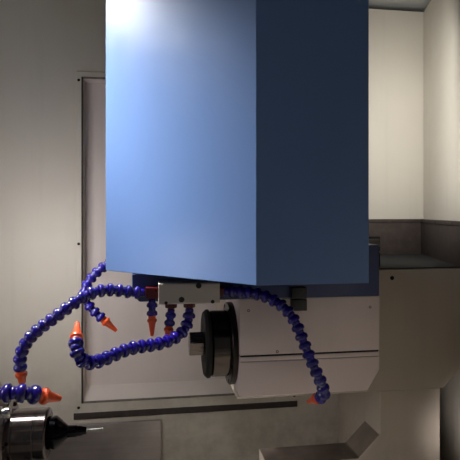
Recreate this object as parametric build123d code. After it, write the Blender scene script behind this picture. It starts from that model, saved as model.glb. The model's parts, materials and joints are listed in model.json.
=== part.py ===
from build123d import *
import math
import os

# Five-axis tool grinder: a cabin on a cast bed, with the wheel head hanging from
# a column on the right and the work head on a table on the left.
# Millimetres. X runs to the operator's right, Y to the rear, Z up.
# The origin is on the floor, under the middle of the machine.

# Cabin
CABIN_WIDTH = 1600.0
FRONT_FACE = -775.0
CABIN_TOP = 1980.0
SKIRT_BOTTOM = 60.0
BED_TOP = 700.0
PAN_DEPTH = 22.0
SHEET = 2.5
PANEL_GAP = 0.5

# Front opening with its two sliding leaves
OPENING_LEFT = -400.0
OPENING_RIGHT = 340.0
OPENING_LOW = 880.0
HEADER_HEIGHT = 140.0
LEAF_THICK = 22.0
LEAF_LAP = 15.0
LEAF_STEP = 8.0
TRACK_DEPTH = 12.0
WINDOW_MARGIN = 70.0
WINDOW_THICK = 6.0
HANDLE_HEIGHT = 260.0
HANDLE_WIDTH = 18.0
HANDLE_REACH = 16.0
HANDLE_ROUND = 4.0
WINDOW_LAP = 8.5

# Bed and feet
BED_HALF_WIDTH = 690.0
BED_FRONT = -640.0
BED_BACK = 540.0
BED_BOTTOM = 90.0
BED_WALL = 45.0
BED_DECK = 60.0
RIB_THICK = 30.0
FOOT_RADIUS = 55.0
FOOT_PAD = 22.0
FOOT_SIDES = 8
STEM_RADIUS = 16.0
FOOT_INSET = 90.0

# Rear wall of the chamber with its recessed window panel
WALL_Y = 425.0
RECESS_LEFT = -169.0
RECESS_RIGHT = 376.0
RECESS_LOW = 919.0
RECESS_BELOW_TOP = 240.0
RECESS_DEPTH = 50.0
SILL_RISE = 27.0
TRIM_SIDE = 13.0
TRIM_FOOT = 24.0
TRIM_THICK = 3.0
SPLASH_LEFT = -268.0
SPLASH_RIGHT = 29.0
SPLASH_TOP = 868.0
SPLASH_THICK = 8.0
TRAY_THICK = 5.0
TRAY_LIP = 40.0

# Slanted inner wall on the right
SLANT_REAR_X = 724.0
SLANT_REAR_Y = 320.0
SLANT_SLOPE = 0.29

# Electrical cabinet on the rear
CABINET_FRONT = 575.0
CABINET_HALF_WIDTH = 640.0
CABINET_LOW = 300.0
CABINET_BELOW_TOP = 120.0
DOOR_THICK = 18.0
LATCH_LENGTH = 120.0
LATCH_WIDTH = 26.0
LATCH_REACH = 23.0
HINGE_LENGTH = 90.0
HINGE_WIDTH = 14.0
HINGE_REACH = 8.0
DRIVE_WIDTH = 110.0
DRIVE_HEIGHT = 340.0
DRIVE_DEPTH = 120.0
DRIVE_COUNT = 5
DRIVE_PITCH = 190.0
PLATE_MARGIN = 40.0

# Operator panel beside the opening
PENDANT_LEFT = 420.0
PENDANT_RIGHT = 740.0
PENDANT_LOW = 1120.0
PENDANT_HIGH = 1600.0
PENDANT_DEPTH = 60.0
SCREEN_MARGIN = 35.0
SCREEN_HEIGHT = 200.0
SCREEN_THICK = 4.0
KEY_SIZE = 16.0
KEY_PITCH = 26.0
KEY_RISE = 4.0
KEY_ROWS = 4
KEY_COLUMNS = 6
STOP_RADIUS = 18.0
STOP_STEM = 8.0
STOP_RISE = 6.0
STOP_CAP = 10.0
STOP_TRAVEL = 5.0
PENDANT_CHAMFER = 12.0
SCREEN_SINK = 1.0

# Work light under the roof
LAMP_LEFT = -620.0
LAMP_WIDTH = 80.0
LAMP_LENGTH = 520.0
LAMP_DEPTH = 60.0
LAMP_CHAMFER = 14.0

# Column, bridge housing and slides
BRIDGE_LEFT = 170.0
BRIDGE_FRONT = 87.0
BRIDGE_LOW = 1030.0
BRIDGE_TOP = 1281.0
BRIDGE_CHAMFER = 40.0
FOOT_EDGE = 471.0
FOOT_BACK = 166.0
GUSSET_TOP = 940.0
GUSSET_LEG = 46.0
CASTING_STEP = 4.0
PLINTH_LEFT = 232.0
COLUMN_LEFT = 505.0
COLUMN_RIGHT = 606.0
MAST_LEFT = -55.0
MAST_RIGHT = 425.0
MAST_FRONT = 118.0
MAST_BELOW_TOP = 95.0
MAST_STEP = 12.0
MAST_CHAMFER = 30.0
RAIL_WIDTH = 34.0
RAIL_HEIGHT = 26.0
RAIL_GAP = 0.05
SADDLE_LEFT = 30.0
SADDLE_RIGHT = 270.0
SADDLE_THICK = 46.0
SADDLE_BELOW_TOP = 130.0
LIFT_UP = 50.0
LIFT_DOWN = 120.0
TABLE_TRAVEL_FRONT = 160.0
TABLE_TRAVEL_BACK = 80.0
CARRIAGE_WALL = 14.0
CARRIAGE_LENGTH = 90.0
CARRIAGE_STEP = 2.0
SADDLE_CLEARANCE = 7.0

# Wheel head, its blue carrier and the blue cover
CARRIER_LEFT = -28.0
HEAD_LEFT = 148.0
HEAD_RIGHT = 393.5
HEAD_FRONT = -75.0
HEAD_BACK = 84.5
CARRIER_LOW = 1255.0
CARRIER_HIGH = 1343.0
CARRIER_CHAMFER = 12.0
CARRIER_STEP = 30.0
HEAD_SEAM = 1160.0
HEAD_LOW = 1092.0
SEAM_STEP = 10.0
SEAM_INSET = 2.0
HEAD_CUT_X = 22.0
HEAD_CUT_Z = 35.0
SWITCH_X = 234.0
SWITCH_WIDTH = 26.0
SWITCH_THICK = 12.0
SWITCH_DROP = 20.0
SWITCH_RISE = 19.0
RAM_HALF_WIDTH = 105.0
RAM_THICK = 36.0
COVER_SHEET = 2.0
COVER_CORNER_X = 142.0
COVER_RIGHT = 302.0
COVER_FRONT = -239.0
COVER_SPLAY = 215.0
COVER_BACK = 60.0
COVER_LOW = 1301.0
COVER_LIP = 25.0
COVER_GAP = 5.0

# Wheel spindle
SPINDLE_Y = 5.0
SPINDLE_Z = 1164.0
NOSE_RADIUS = 72.5
NOSE_FACE = 138.0
HUB_RADIUS = 58.0
HUB_LEFT = 105.5
SHAFT_RADIUS = 24.0
WHEEL_RADIUS = 60.0
WHEEL_THICK = 10.0
WHEEL_BORE = 25.4
NUT_ACROSS = 47.0
NUT_LENGTH = 25.0
RUN_GAP = 0.05
WHEEL_SPIGOT = 0.5
SHAFT_LENGTH = 100.0
BORE_LENGTH = 120.0

# Coolant manifold under the carrier and its hoses
MANIFOLD_LEFT = 14.0
MANIFOLD_RIGHT = 110.0
MANIFOLD_FRONT = -110.0
MANIFOLD_LOW = 1255.5
MANIFOLD_HIGH = 1289.0
MANIFOLD_CHAMFER = 2.0
PORT_Y = -93.0
PORT_Z = 1272.5
PORT_RADIUS = 9.5
PORT_LENGTH = 8.0
TEE_LENGTH = 20.0
HOSE_RADIUS = 10.5
HOSE_PITCH = 14.6
WORK_HOSE_RADIUS = 13.0
WORK_HOSE_PITCH = 18.0
SMALL_HOSE_RADIUS = 9.0
SMALL_HOSE_PITCH = 12.6
LINK_SIDES = 8
SEAT_GAP = 0.3
BALL_BACK = 3.6
BALL_BACK_RADIUS = 5.6
BALL_RADIUS = 7.2
SOCKET_DEPTH = 5.4
SOCKET_BACK_RADIUS = 6.5
SOCKET_MOUTH = 1.8
SOCKET_MOUTH_RADIUS = 7.25
BALL_STANDOFF = BALL_BACK + 3 * SEAT_GAP
SMALL_STANDOFF = BALL_STANDOFF * SMALL_HOSE_RADIUS / HOSE_RADIUS
WORK_STANDOFF = BALL_BACK * WORK_HOSE_RADIUS / HOSE_RADIUS + 3 * SEAT_GAP

# Work head on its swivel and table
WORK_Y = 5.0
WORK_Z = 1021.0
PIVOT_X = -350.0
TABLE_LEFT = -560.0
TABLE_RIGHT = -150.0
TABLE_FRONT = -170.0
TABLE_BACK = 180.0
TABLE_LOW = 726.0
TABLE_HIGH = 790.0
TABLE_RAIL_INSET = 70.0
TABLE_SKIRT = 12.0
TABLE_CHAMFER = 8.0
SWIVEL_RADIUS = 130.0
SWIVEL_HIGH = 862.0
WORK_HALF_WIDTH = 72.0
WORK_LEFT = -560.0
WORK_RIGHT = -262.0
WORK_LOW = 930.0
WORK_HIGH = 1100.0
STAND_SIZE = 20.0
PEDESTAL_HALF = 95.0
PEDESTAL_FLARE = 25.0
WORK_CHAMFER = 26.0
CHUCK_FLANGE_RADIUS = 60.0
CHUCK_FLANGE_FACE = -232.0
CHUCK_RADIUS = 42.0
CHUCK_FACE = -170.0
CONE_BAND = 12.0
CONE_RADIUS = 27.6
CONE_SMALL = 10.3
NOSE_START = -139.0
NOSE_END = -108.0
COLLET_RADIUS = 8.2
TOOL_RADIUS = 3.0
TOOL_END = -80.0
TOOL_SEAT = 8.0

# Ports: where each hose starts; the rear one is on the carrier's step, behind the cover
CARRIER_STEP_X = COVER_CORNER_X - COVER_SPLAY + 3 * CARRIER_STEP
TEE_HALF = PORT_RADIUS - 1
TEE_X = MANIFOLD_LEFT - TEE_LENGTH / 2
LOWER_PORT_X = 63.0
SHORT_PORT_X = 34.0
REAR_PORT_Y = 73.0
REAR_PORT_Z = 1321.0
STAND_TIP = -202.0
STAND_Y = -200.0
STAND_Z = 1160.0
RIGHT_PORT = (MANIFOLD_RIGHT, PORT_Y, PORT_Z)
LOWER_PORT = (LOWER_PORT_X, PORT_Y, MANIFOLD_LOW)
SHORT_PORT = (SHORT_PORT_X, PORT_Y, MANIFOLD_LOW)
REAR_PORT = (CARRIER_STEP_X, REAR_PORT_Y, REAR_PORT_Z)
TO_LEFT = (-1, 0, 0)
TO_RIGHT = (1, 0, 0)
DOWN = (0, 0, -1)

# Bends: the points each hose passes, measured from its first ball
LEFT_BENDS = [
    (-17.5, -2.0, 1.5),
    (-46.5, -12.0, 7.5),
    (-77.5, -24.0, 4.5),
    (-107.5, -27.0, -13.5),
    (-136.5, -20.0, -35.5),
    (-164.5, -10.0, -58.5),
    (-182.5, 0.0, -86.5),
    (-185.5, 9.0, -116.5),
]
REAR_BENDS = [
    (-24.5, 1.0, 2.0),
    (-54.5, 2.0, -4.0),
    (-85.0, 2.0, -20.5),
    (-102.0, 5.0, -34.0),
    (-116.5, 7.0, -50.5),
    (-125.5, 7.0, -73.0),
    (-118.5, 7.0, -94.0),
    (-106.0, 7.0, -109.0),
    (-91.0, 7.0, -123.0),
]
TEE_BENDS = [
    (0.0, -2.0, -25.2),
]
SHORT_BENDS = [
    (-3.0, 2.0, -25.2),
]
LOWER_BENDS = [
    (-1.0, -2.0, -13.0),
    (-9.0, -9.0, -30.0),
    (-30.0, -23.0, -41.0),
    (-60.0, -39.0, -44.0),
    (-91.0, -57.0, -43.0),
    (-120.0, -77.0, -49.0),
    (-141.0, -97.0, -50.0),
    (-155.0, -111.0, -41.0),
    (-161.0, -109.0, -27.0),
    (-162.0, -97.0, -19.0),
]
RIGHT_BENDS = [
    (17.5, -3.0, -0.5),
    (47.5, -18.0, -3.5),
    (74.5, -36.0, -13.5),
    (95.5, -48.0, -33.5),
    (109.5, -54.0, -64.5),
    (121.5, -60.0, -96.5),
    (131.5, -64.0, -120.5),
    (140.5, -62.0, -139.5),
    (146.5, -54.0, -157.0),
    (143.0, -39.0, -167.0),
]
WORK_BENDS = [
    (22.5, 0.0, 0.0),
    (37.0, 4.0, -3.0),
    (48.0, 13.0, -9.0),
]
NOZZLE_LENGTH = 34.0
SHORT_NOZZLE_LENGTH = 30.0
COLLAR_START = 7.0
COLLAR_END = 11.0
COLLAR_RADIUS = 9.0
NECK_RADIUS = 6.6
TIP_RADIUS = 3.2

CABIN_HALF = CABIN_WIDTH / 2
OPENING_HIGH = CABIN_TOP - HEADER_HEIGHT
RECESS_HIGH = CABIN_TOP - RECESS_BELOW_TOP
CABINET_HIGH = CABIN_TOP - CABINET_BELOW_TOP
MAST_TOP = CABIN_TOP - MAST_BELOW_TOP
COVER_HIGH = MAST_TOP
SADDLE_HIGH = CABIN_TOP - SADDLE_BELOW_TOP
STOP_REACH = PENDANT_DEPTH + STOP_RISE + STOP_CAP
CABINET_BACK = STOP_REACH - FRONT_FACE - DOOR_THICK - LATCH_REACH
SADDLE_LOW = CARRIER_HIGH + LIFT_UP + SADDLE_CLEARANCE
CABIN_REAR = CABINET_FRONT - PANEL_GAP
SADDLE_MID = (SADDLE_LEFT + SADDLE_RIGHT) / 2


def block(x0, x1, y0, y1, z0, z1):
    """A box between two corners."""
    middle = Pos((x0 + x1) / 2, (y0 + y1) / 2, (z0 + z1) / 2)
    return middle * Box(x1 - x0, y1 - y0, z1 - z0)


def folded_pan(x0, x1, y0, y1, z0, z1, open_to):
    """A sheet panel with its edges folded back by the pan's depth, open to one side."""
    low = [x0 + SHEET, y0 + SHEET, z0 + SHEET]
    high = [x1 - SHEET, y1 - SHEET, z1 - SHEET]
    axis = "xyz".index(open_to[1])
    if open_to[0] == "+":
        high[axis] += 2 * SHEET
    else:
        low[axis] -= 2 * SHEET
    hollow = block(low[0], high[0], low[1], high[1], low[2], high[2])
    return block(x0, x1, y0, y1, z0, z1) - hollow


def turned(profile, y, z):
    """A body of revolution about an axis along X; the profile is (x, radius) points."""
    outline = make_face(Polyline(*profile, close=True))
    return Pos(0, y, z) * revolve(outline, axis=Axis.X)


def ring(x0, x1, outer, inner, y, z):
    """A plain ring about an axis along X."""
    return turned([(x0, inner), (x1, inner), (x1, outer), (x0, outer)], y, z)


def extruded_xz(points, y0, y1):
    """A profile drawn in X and Z, pushed from y0 back to y1."""
    outline = make_face(Polyline(*[(x, 0, z) for x, z in points], close=True))
    return Pos(0, y0, 0) * extrude(outline, amount=y1 - y0, dir=(0, 1, 0))


def extruded_xy(points, z0, z1):
    """A plan drawn in X and Y, pushed from z0 up to z1."""
    outline = make_face(Polyline(*[(x, y, z0) for x, y in points], close=True))
    return extrude(outline, amount=z1 - z0, dir=(0, 0, 1))


def extruded_yz(points, x0, x1):
    """A profile drawn in Y and Z, pushed from x0 to x1."""
    outline = make_face(Polyline(*[(x0, y, z) for y, z in points], close=True))
    return extrude(outline, amount=x1 - x0, dir=(1, 0, 0))


def slant_x(y):
    """Where the slanted inner wall stands at this depth."""
    return SLANT_REAR_X - SLANT_SLOPE * (SLANT_REAR_Y - y)


def save(name, *solids):
    """Write one sub-part, of one solid or of a group of separate solids."""
    shape = solids[0] if len(solids) == 1 else Compound(children=list(solids))
    export_step(shape, "parts/" + name + ".step")


# Bed, feet and skirts


def levelling_feet():
    feet = []
    for x in (-BED_HALF_WIDTH + FOOT_INSET, 0, BED_HALF_WIDTH - FOOT_INSET):
        for y in (BED_FRONT + FOOT_INSET, BED_BACK - FOOT_INSET):
            pad = Pos(x, y, 0) * extrude(RegularPolygon(FOOT_RADIUS, FOOT_SIDES), amount=FOOT_PAD)
            rise = BED_BOTTOM - FOOT_PAD
            stem = Pos(x, y, FOOT_PAD + rise / 2) * Cylinder(STEM_RADIUS, rise)
            feet.append(pad + stem)
    return feet


def bed_casting():
    """A cast box, open below, with cross ribs and solid pads where the feet screw in."""
    outer = block(-BED_HALF_WIDTH, BED_HALF_WIDTH, BED_FRONT, BED_BACK, BED_BOTTOM, BED_TOP)
    inner = block(
        -BED_HALF_WIDTH + BED_WALL,
        BED_HALF_WIDTH - BED_WALL,
        BED_FRONT + BED_WALL,
        BED_BACK - BED_WALL,
        BED_BOTTOM,
        BED_TOP - BED_DECK,
    )
    bed = outer - inner
    for x in (-BED_HALF_WIDTH / 3, BED_HALF_WIDTH / 3):
        bed += block(
            x - RIB_THICK / 2, x + RIB_THICK / 2, BED_FRONT + 1, BED_BACK - 1, BED_BOTTOM, BED_TOP - 1
        )
    reach = FOOT_INSET + FOOT_RADIUS
    for x in (-BED_HALF_WIDTH + FOOT_INSET, 0, BED_HALF_WIDTH - FOOT_INSET):
        for y in (BED_FRONT + reach / 2, BED_BACK - reach / 2):
            bed += block(
                x - FOOT_RADIUS, x + FOOT_RADIUS, y - reach / 2, y + reach / 2,
                BED_BOTTOM, BED_BOTTOM + BED_DECK,
            )
    return bed


def base_skirts():
    """Four folded panels that close the machine in below the chamber."""
    top = BED_TOP - PANEL_GAP
    front = FRONT_FACE + PAN_DEPTH
    rear = CABIN_REAR - PAN_DEPTH
    side = CABIN_HALF - PAN_DEPTH
    return [
        folded_pan(-CABIN_HALF, CABIN_HALF, FRONT_FACE, front, SKIRT_BOTTOM, top, "+y"),
        folded_pan(-CABIN_HALF, CABIN_HALF, rear, CABIN_REAR, SKIRT_BOTTOM, top, "-y"),
        folded_pan(
            -CABIN_HALF, -side, front + PANEL_GAP, rear - PANEL_GAP, SKIRT_BOTTOM, top, "+x"
        ),
        folded_pan(
            side, CABIN_HALF, front + PANEL_GAP, rear - PANEL_GAP, SKIRT_BOTTOM, top, "-x"
        ),
    ]


def chip_tray():
    """The chamber's floor: a sheet over bed and skirts with an upstand at its edge."""
    x = CABIN_HALF - PAN_DEPTH - PANEL_GAP
    y0 = FRONT_FACE + PAN_DEPTH + PANEL_GAP
    y1 = WALL_Y - PANEL_GAP
    tray = block(-x, x, y0, y1, BED_TOP, BED_TOP + TRAY_LIP)
    return tray - block(
        -x + SHEET, x - SHEET, y0 + SHEET, y1 - SHEET, BED_TOP + TRAY_THICK, BED_TOP + TRAY_LIP + 1
    )


# Cabin panels


def side_panel(side):
    """One outer side of the cabin, a folded panel open to the inside."""
    outer = side * CABIN_HALF
    inner = side * (CABIN_HALF - PAN_DEPTH)
    front = FRONT_FACE + PAN_DEPTH + PANEL_GAP
    rear = CABIN_REAR - PAN_DEPTH - PANEL_GAP
    top = CABIN_TOP - PAN_DEPTH - PANEL_GAP
    x0, x1 = min(outer, inner), max(outer, inner)
    return folded_pan(x0, x1, front, rear, BED_TOP, top, "-x" if side > 0 else "+x")


def rear_panel():
    """The cabin's rear, which carries the electrical cabinet."""
    top = CABIN_TOP - PAN_DEPTH - PANEL_GAP
    front = CABIN_REAR - PAN_DEPTH
    return folded_pan(-CABIN_HALF, CABIN_HALF, front, CABIN_REAR, BED_TOP, top, "-y")


def roof_panel():
    low = CABIN_TOP - PAN_DEPTH
    return folded_pan(-CABIN_HALF, CABIN_HALF, FRONT_FACE, CABIN_REAR, low, CABIN_TOP, "-z")


def front_frame():
    """Four folded panels round the opening: two pillars, a header and a sill."""
    high = CABIN_TOP - PAN_DEPTH - PANEL_GAP
    back = FRONT_FACE + PAN_DEPTH
    x0, x1 = OPENING_LEFT + PANEL_GAP, OPENING_RIGHT - PANEL_GAP
    return [
        folded_pan(-CABIN_HALF, OPENING_LEFT, FRONT_FACE, back, BED_TOP, high, "+y"),
        folded_pan(OPENING_RIGHT, CABIN_HALF, FRONT_FACE, back, BED_TOP, high, "+y"),
        folded_pan(x0, x1, FRONT_FACE, back, OPENING_HIGH, high, "+y"),
        folded_pan(x0, x1, FRONT_FACE, back, BED_TOP, OPENING_LOW, "+y"),
    ]


def door_tracks():
    """The two rails behind the front, above and below the leaves."""
    x0, x1, y0, y1, z0, z1 = leaf_box(-1)
    half = CABIN_HALF - PAN_DEPTH - PANEL_GAP
    front = FRONT_FACE + PAN_DEPTH
    return [
        block(-half, half, front, y1, z0 - SEAT_GAP - TRACK_DEPTH, z0 - SEAT_GAP),
        block(-half, half, front, y1, z1 + SEAT_GAP, z1 + SEAT_GAP + TRACK_DEPTH),
    ]


def leaf_box(side):
    """Where a door leaf stands when it is slid fully open, behind the front panel."""
    middle = (OPENING_LEFT + OPENING_RIGHT) / 2
    width = (OPENING_RIGHT - OPENING_LEFT) / 2 + LEAF_LAP - PANEL_GAP
    y0 = FRONT_FACE + PAN_DEPTH + LEAF_STEP
    if side < 0:
        x1 = middle - PANEL_GAP / 2 - leaf_travel()
        x0 = x1 - width
    else:
        x0 = middle + PANEL_GAP / 2 + leaf_travel()
        x1 = x0 + width
    return x0, x1, y0, y0 + LEAF_THICK, OPENING_LOW - LEAF_LAP, OPENING_HIGH + LEAF_LAP


def leaf_travel():
    return (OPENING_RIGHT - OPENING_LEFT) / 2 - HANDLE_WIDTH - LEAF_LAP


def window_box(side):
    x0, x1, y0, y1, z0, z1 = leaf_box(side)
    middle = (y0 + y1) / 2
    m = WINDOW_MARGIN
    return x0 + m, x1 - m, middle - WINDOW_THICK / 2, middle + WINDOW_THICK / 2, z0 + m, z1 - m


def door_leaf(side):
    """A sliding leaf with a rebated window hole and a pull near its inner edge."""
    x0, x1, y0, y1, z0, z1 = leaf_box(side)
    leaf = block(x0, x1, y0, y1, z0, z1)
    wx0, wx1, wy0, wy1, wz0, wz1 = window_box(side)
    lap = WINDOW_LAP
    leaf -= block(wx0 + lap, wx1 - lap, y0 - 1, y1 + 1, wz0 + lap, wz1 - lap)
    leaf -= block(
        wx0 - SEAT_GAP, wx1 + SEAT_GAP, wy0 - SEAT_GAP, y1 + 1, wz0 - SEAT_GAP, wz1 + SEAT_GAP
    )
    inner = x1 - HANDLE_WIDTH - LEAF_LAP / 2 if side < 0 else x0 + LEAF_LAP / 2
    mid = (z0 + z1) / 2
    pull = block(
        inner, inner + HANDLE_WIDTH, y0 - HANDLE_REACH, y0, mid - HANDLE_HEIGHT / 2, mid + HANDLE_HEIGHT / 2
    )
    return leaf + fillet(pull.edges().filter_by(Axis.Z).sort_by(Axis.Y)[:2], HANDLE_ROUND)


def door_window(side):
    x0, x1, y0, y1, z0, z1 = window_box(side)
    return block(x0, x1, y0, y1, z0, z1)


# Rear wall of the chamber


def rear_wall():
    """The chamber's rear sheet, cut out for the recess."""
    half = CABIN_HALF - PAN_DEPTH - PANEL_GAP
    top = CABIN_TOP - PAN_DEPTH - PANEL_GAP
    wall = block(-half, half, WALL_Y, WALL_Y + SHEET, BED_TOP, top)
    return wall - block(
        RECESS_LEFT, RECESS_RIGHT, WALL_Y - 1, WALL_Y + SHEET + 1, RECESS_LOW, RECESS_HIGH
    )


def recess_pan():
    """The sheet box welded into the wall's cut-out, open to the chamber, with a sloped sill."""
    back = WALL_Y + RECESS_DEPTH
    slope = SILL_RISE / RECESS_DEPTH
    outer = [
        (WALL_Y, RECESS_LOW),
        (back, RECESS_LOW + SILL_RISE),
        (back, RECESS_HIGH),
        (WALL_Y, RECESS_HIGH),
    ]
    front = WALL_Y - 1
    sill = RECESS_LOW + SHEET
    inner = [
        (front, sill - slope),
        (back - SHEET, sill + SILL_RISE - slope * SHEET),
        (back - SHEET, RECESS_HIGH - SHEET),
        (front, RECESS_HIGH - SHEET),
    ]
    pan = extruded_yz(outer, RECESS_LEFT, RECESS_RIGHT)
    return pan - extruded_yz(inner, RECESS_LEFT + SHEET, RECESS_RIGHT - SHEET)


def recess_trim():
    """A flat frame on the wall around the recess, wider at its foot."""
    frame = block(
        RECESS_LEFT - TRIM_SIDE, RECESS_RIGHT + TRIM_SIDE, WALL_Y - TRIM_THICK, WALL_Y,
        RECESS_LOW - TRIM_FOOT, RECESS_HIGH + TRIM_SIDE,
    )
    return frame - block(
        RECESS_LEFT, RECESS_RIGHT, WALL_Y - TRIM_THICK - 1, WALL_Y + 1, RECESS_LOW, RECESS_HIGH
    )


def splash_plate():
    """A bare steel plate that stands in the tray against the wall."""
    y1 = WALL_Y - PANEL_GAP - SHEET
    return block(
        SPLASH_LEFT, SPLASH_RIGHT, y1 - SPLASH_THICK, y1, BED_TOP + TRAY_THICK, SPLASH_TOP
    )


def slanted_wall():
    """The inner wall on the right, which narrows the chamber towards the opening."""
    front = FRONT_FACE + PAN_DEPTH + 2 * LEAF_STEP + LEAF_THICK + SHEET
    back = WALL_Y - PANEL_GAP - SHEET
    low = BED_TOP + TRAY_THICK
    plan = [
        (slant_x(front), front),
        (slant_x(front) + SHEET, front),
        (slant_x(back) + SHEET, back),
        (slant_x(back), back),
    ]
    return extruded_xy(plan, low, CABIN_TOP - PAN_DEPTH - PANEL_GAP)


# Column, bridge and mast


def column_foot():
    """The cast foot: a plinth, a gusset and the leg that holds up the bridge."""
    low = BED_TOP + TRAY_THICK
    plinth_top = GUSSET_TOP - GUSSET_LEG
    profile = [
        (FOOT_EDGE, BRIDGE_LOW),
        (FOOT_EDGE, GUSSET_TOP),
        (FOOT_EDGE - GUSSET_LEG, plinth_top),
        (PLINTH_LEFT, plinth_top),
        (PLINTH_LEFT, low),
        (COLUMN_RIGHT, low),
        (COLUMN_RIGHT, BRIDGE_LOW),
    ]
    front = extruded_xz(profile, BRIDGE_FRONT + CASTING_STEP, FOOT_BACK)
    rear = block(COLUMN_LEFT, COLUMN_RIGHT, FOOT_BACK, WALL_Y - CASTING_STEP, low, BRIDGE_LOW)
    return front + rear


def bridge_housing():
    """The beam behind the wheel head; its right side follows the wall, its lower edge is cut off."""
    back = WALL_Y - CASTING_STEP
    plan = [
        (BRIDGE_LEFT, BRIDGE_FRONT),
        (slant_x(BRIDGE_FRONT) - CASTING_STEP, BRIDGE_FRONT),
        (slant_x(back) - CASTING_STEP, back),
        (BRIDGE_LEFT, back),
    ]
    beam = extruded_xy(plan, BRIDGE_LOW, BRIDGE_TOP)
    return chamfer(beam.edges().group_by(Axis.Z)[0].sort_by(Axis.X)[-1], BRIDGE_CHAMFER)


def mast():
    """The casting on top of the bridge that carries the cross rails."""
    body = block(MAST_LEFT, MAST_RIGHT, MAST_FRONT, WALL_Y - MAST_STEP, BRIDGE_TOP, MAST_TOP)
    return chamfer(body.edges().filter_by(Axis.Y).group_by(Axis.Z)[-1], MAST_CHAMFER)


def cross_rail_heights():
    return (SADDLE_LOW + CARRIAGE_LENGTH / 2, SADDLE_HIGH - CARRIAGE_LENGTH)


def cross_rails():
    rails = []
    for z in cross_rail_heights():
        rails.append(
            block(
                MAST_LEFT, MAST_RIGHT, MAST_FRONT - RAIL_HEIGHT, MAST_FRONT,
                z - RAIL_WIDTH / 2, z + RAIL_WIDTH / 2,
            )
        )
    return rails


def cross_saddle():
    """A plate with four carriages that grip the cross rails."""
    back = MAST_FRONT - RAIL_HEIGHT - RAIL_GAP
    saddle = block(
        SADDLE_LEFT, SADDLE_RIGHT, back - SADDLE_THICK + RAIL_GAP, back, SADDLE_LOW, SADDLE_HIGH
    )
    gap = RAIL_WIDTH / 2 + RAIL_GAP
    for z in cross_rail_heights():
        for x in (SADDLE_LEFT, SADDLE_RIGHT - CARRIAGE_LENGTH):
            for z0, z1 in (
                (z - gap - CARRIAGE_WALL, z - gap),
                (z + gap, z + gap + CARRIAGE_WALL),
            ):
                saddle += block(x, x + CARRIAGE_LENGTH, back - 1, MAST_FRONT - CARRIAGE_STEP, z0, z1)
    return saddle


def lift_rail_places():
    return (SADDLE_MID - RAM_HALF_WIDTH + RAIL_WIDTH, SADDLE_MID + RAM_HALF_WIDTH - RAIL_WIDTH)


def lift_rail_front():
    return MAST_FRONT - 2 * RAIL_HEIGHT - SADDLE_THICK


def lift_rails():
    front = lift_rail_front()
    rails = []
    for x in lift_rail_places():
        rails.append(
            block(
                x - RAIL_WIDTH / 2, x + RAIL_WIDTH / 2, front, front + RAIL_HEIGHT, SADDLE_LOW, SADDLE_HIGH
            )
        )
    return rails


# Wheel head


def ram():
    """The vertical slide: a plate with carriages on the lift rails."""
    rail_front = lift_rail_front()
    back = rail_front - RAIL_GAP
    plate = block(
        SADDLE_MID - RAM_HALF_WIDTH, SADDLE_MID + RAM_HALF_WIDTH, back - RAM_THICK, back,
        CARRIER_HIGH, SADDLE_HIGH - LIFT_UP,
    )
    gap = RAIL_WIDTH / 2 + RAIL_GAP
    for x in lift_rail_places():
        for z in (SADDLE_LOW + LIFT_DOWN, SADDLE_HIGH - LIFT_UP - CARRIAGE_LENGTH):
            for x0, x1 in (
                (x - gap - CARRIAGE_WALL, x - gap),
                (x + gap, x + gap + CARRIAGE_WALL),
            ):
                plate += block(
                    x0, x1, back - 1, rail_front + RAIL_HEIGHT - CARRIAGE_STEP, z, z + CARRIAGE_LENGTH
                )
    return plate


def head_carrier():
    """The blue body between the ram and the head; the cover hides its upper part."""
    step = CARRIER_STEP
    body = block(CARRIER_LEFT, HEAD_RIGHT, HEAD_FRONT, HEAD_BACK, CARRIER_LOW, CARRIER_HIGH)
    body = chamfer(body.edges().filter_by(Axis.Y).group_by(Axis.Z)[0].sort_by(Axis.X)[0], CARRIER_CHAMFER)
    body -= block(
        COVER_RIGHT + step, HEAD_RIGHT + 1, HEAD_BACK - 2 * step, HEAD_BACK + 1,
        CARRIER_LOW + step, CARRIER_HIGH + 1,
    )
    body -= block(
        CARRIER_LEFT - 1, CARRIER_STEP_X, HEAD_FRONT - 1, HEAD_BACK + 1,
        COVER_LOW - 1, CARRIER_HIGH + 1,
    )
    return body


def head_upper():
    """The head's upper housing, above the seam, with a small switch block on its front."""
    body = block(HEAD_LEFT, HEAD_RIGHT, HEAD_FRONT, HEAD_BACK, HEAD_SEAM, CARRIER_LOW) - bore()
    switch = block(
        SWITCH_X, SWITCH_X + SWITCH_WIDTH, HEAD_FRONT - SWITCH_THICK, HEAD_FRONT,
        CARRIER_LOW - SWITCH_DROP, CARRIER_LOW + SWITCH_RISE,
    )
    return body + switch


def head_lower():
    """The head's lower housing, with a stepped seam and the right corner cut off."""
    seam = HEAD_SEAM - SEAM_STEP
    profile = [
        (HEAD_LEFT, HEAD_LOW),
        (HEAD_RIGHT - HEAD_CUT_X, HEAD_LOW),
        (HEAD_RIGHT, HEAD_LOW + HEAD_CUT_Z),
        (HEAD_RIGHT, seam),
        (HEAD_LEFT, seam),
    ]
    body = extruded_xz(profile, HEAD_FRONT, HEAD_BACK)
    neck = block(
        HEAD_LEFT + SEAM_INSET, HEAD_RIGHT - SEAM_INSET, HEAD_FRONT + SEAM_INSET, HEAD_BACK - SEAM_INSET,
        seam - 1, HEAD_SEAM,
    )
    return body + neck - bore()


def bore():
    """The spindle's bore in both housings, open towards the wheel."""
    middle = Pos(HEAD_LEFT + BORE_LENGTH / 2, SPINDLE_Y, SPINDLE_Z) * Rot(0, 90, 0)
    return middle * Cylinder(SHAFT_RADIUS + RUN_GAP, BORE_LENGTH + 2)


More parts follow.
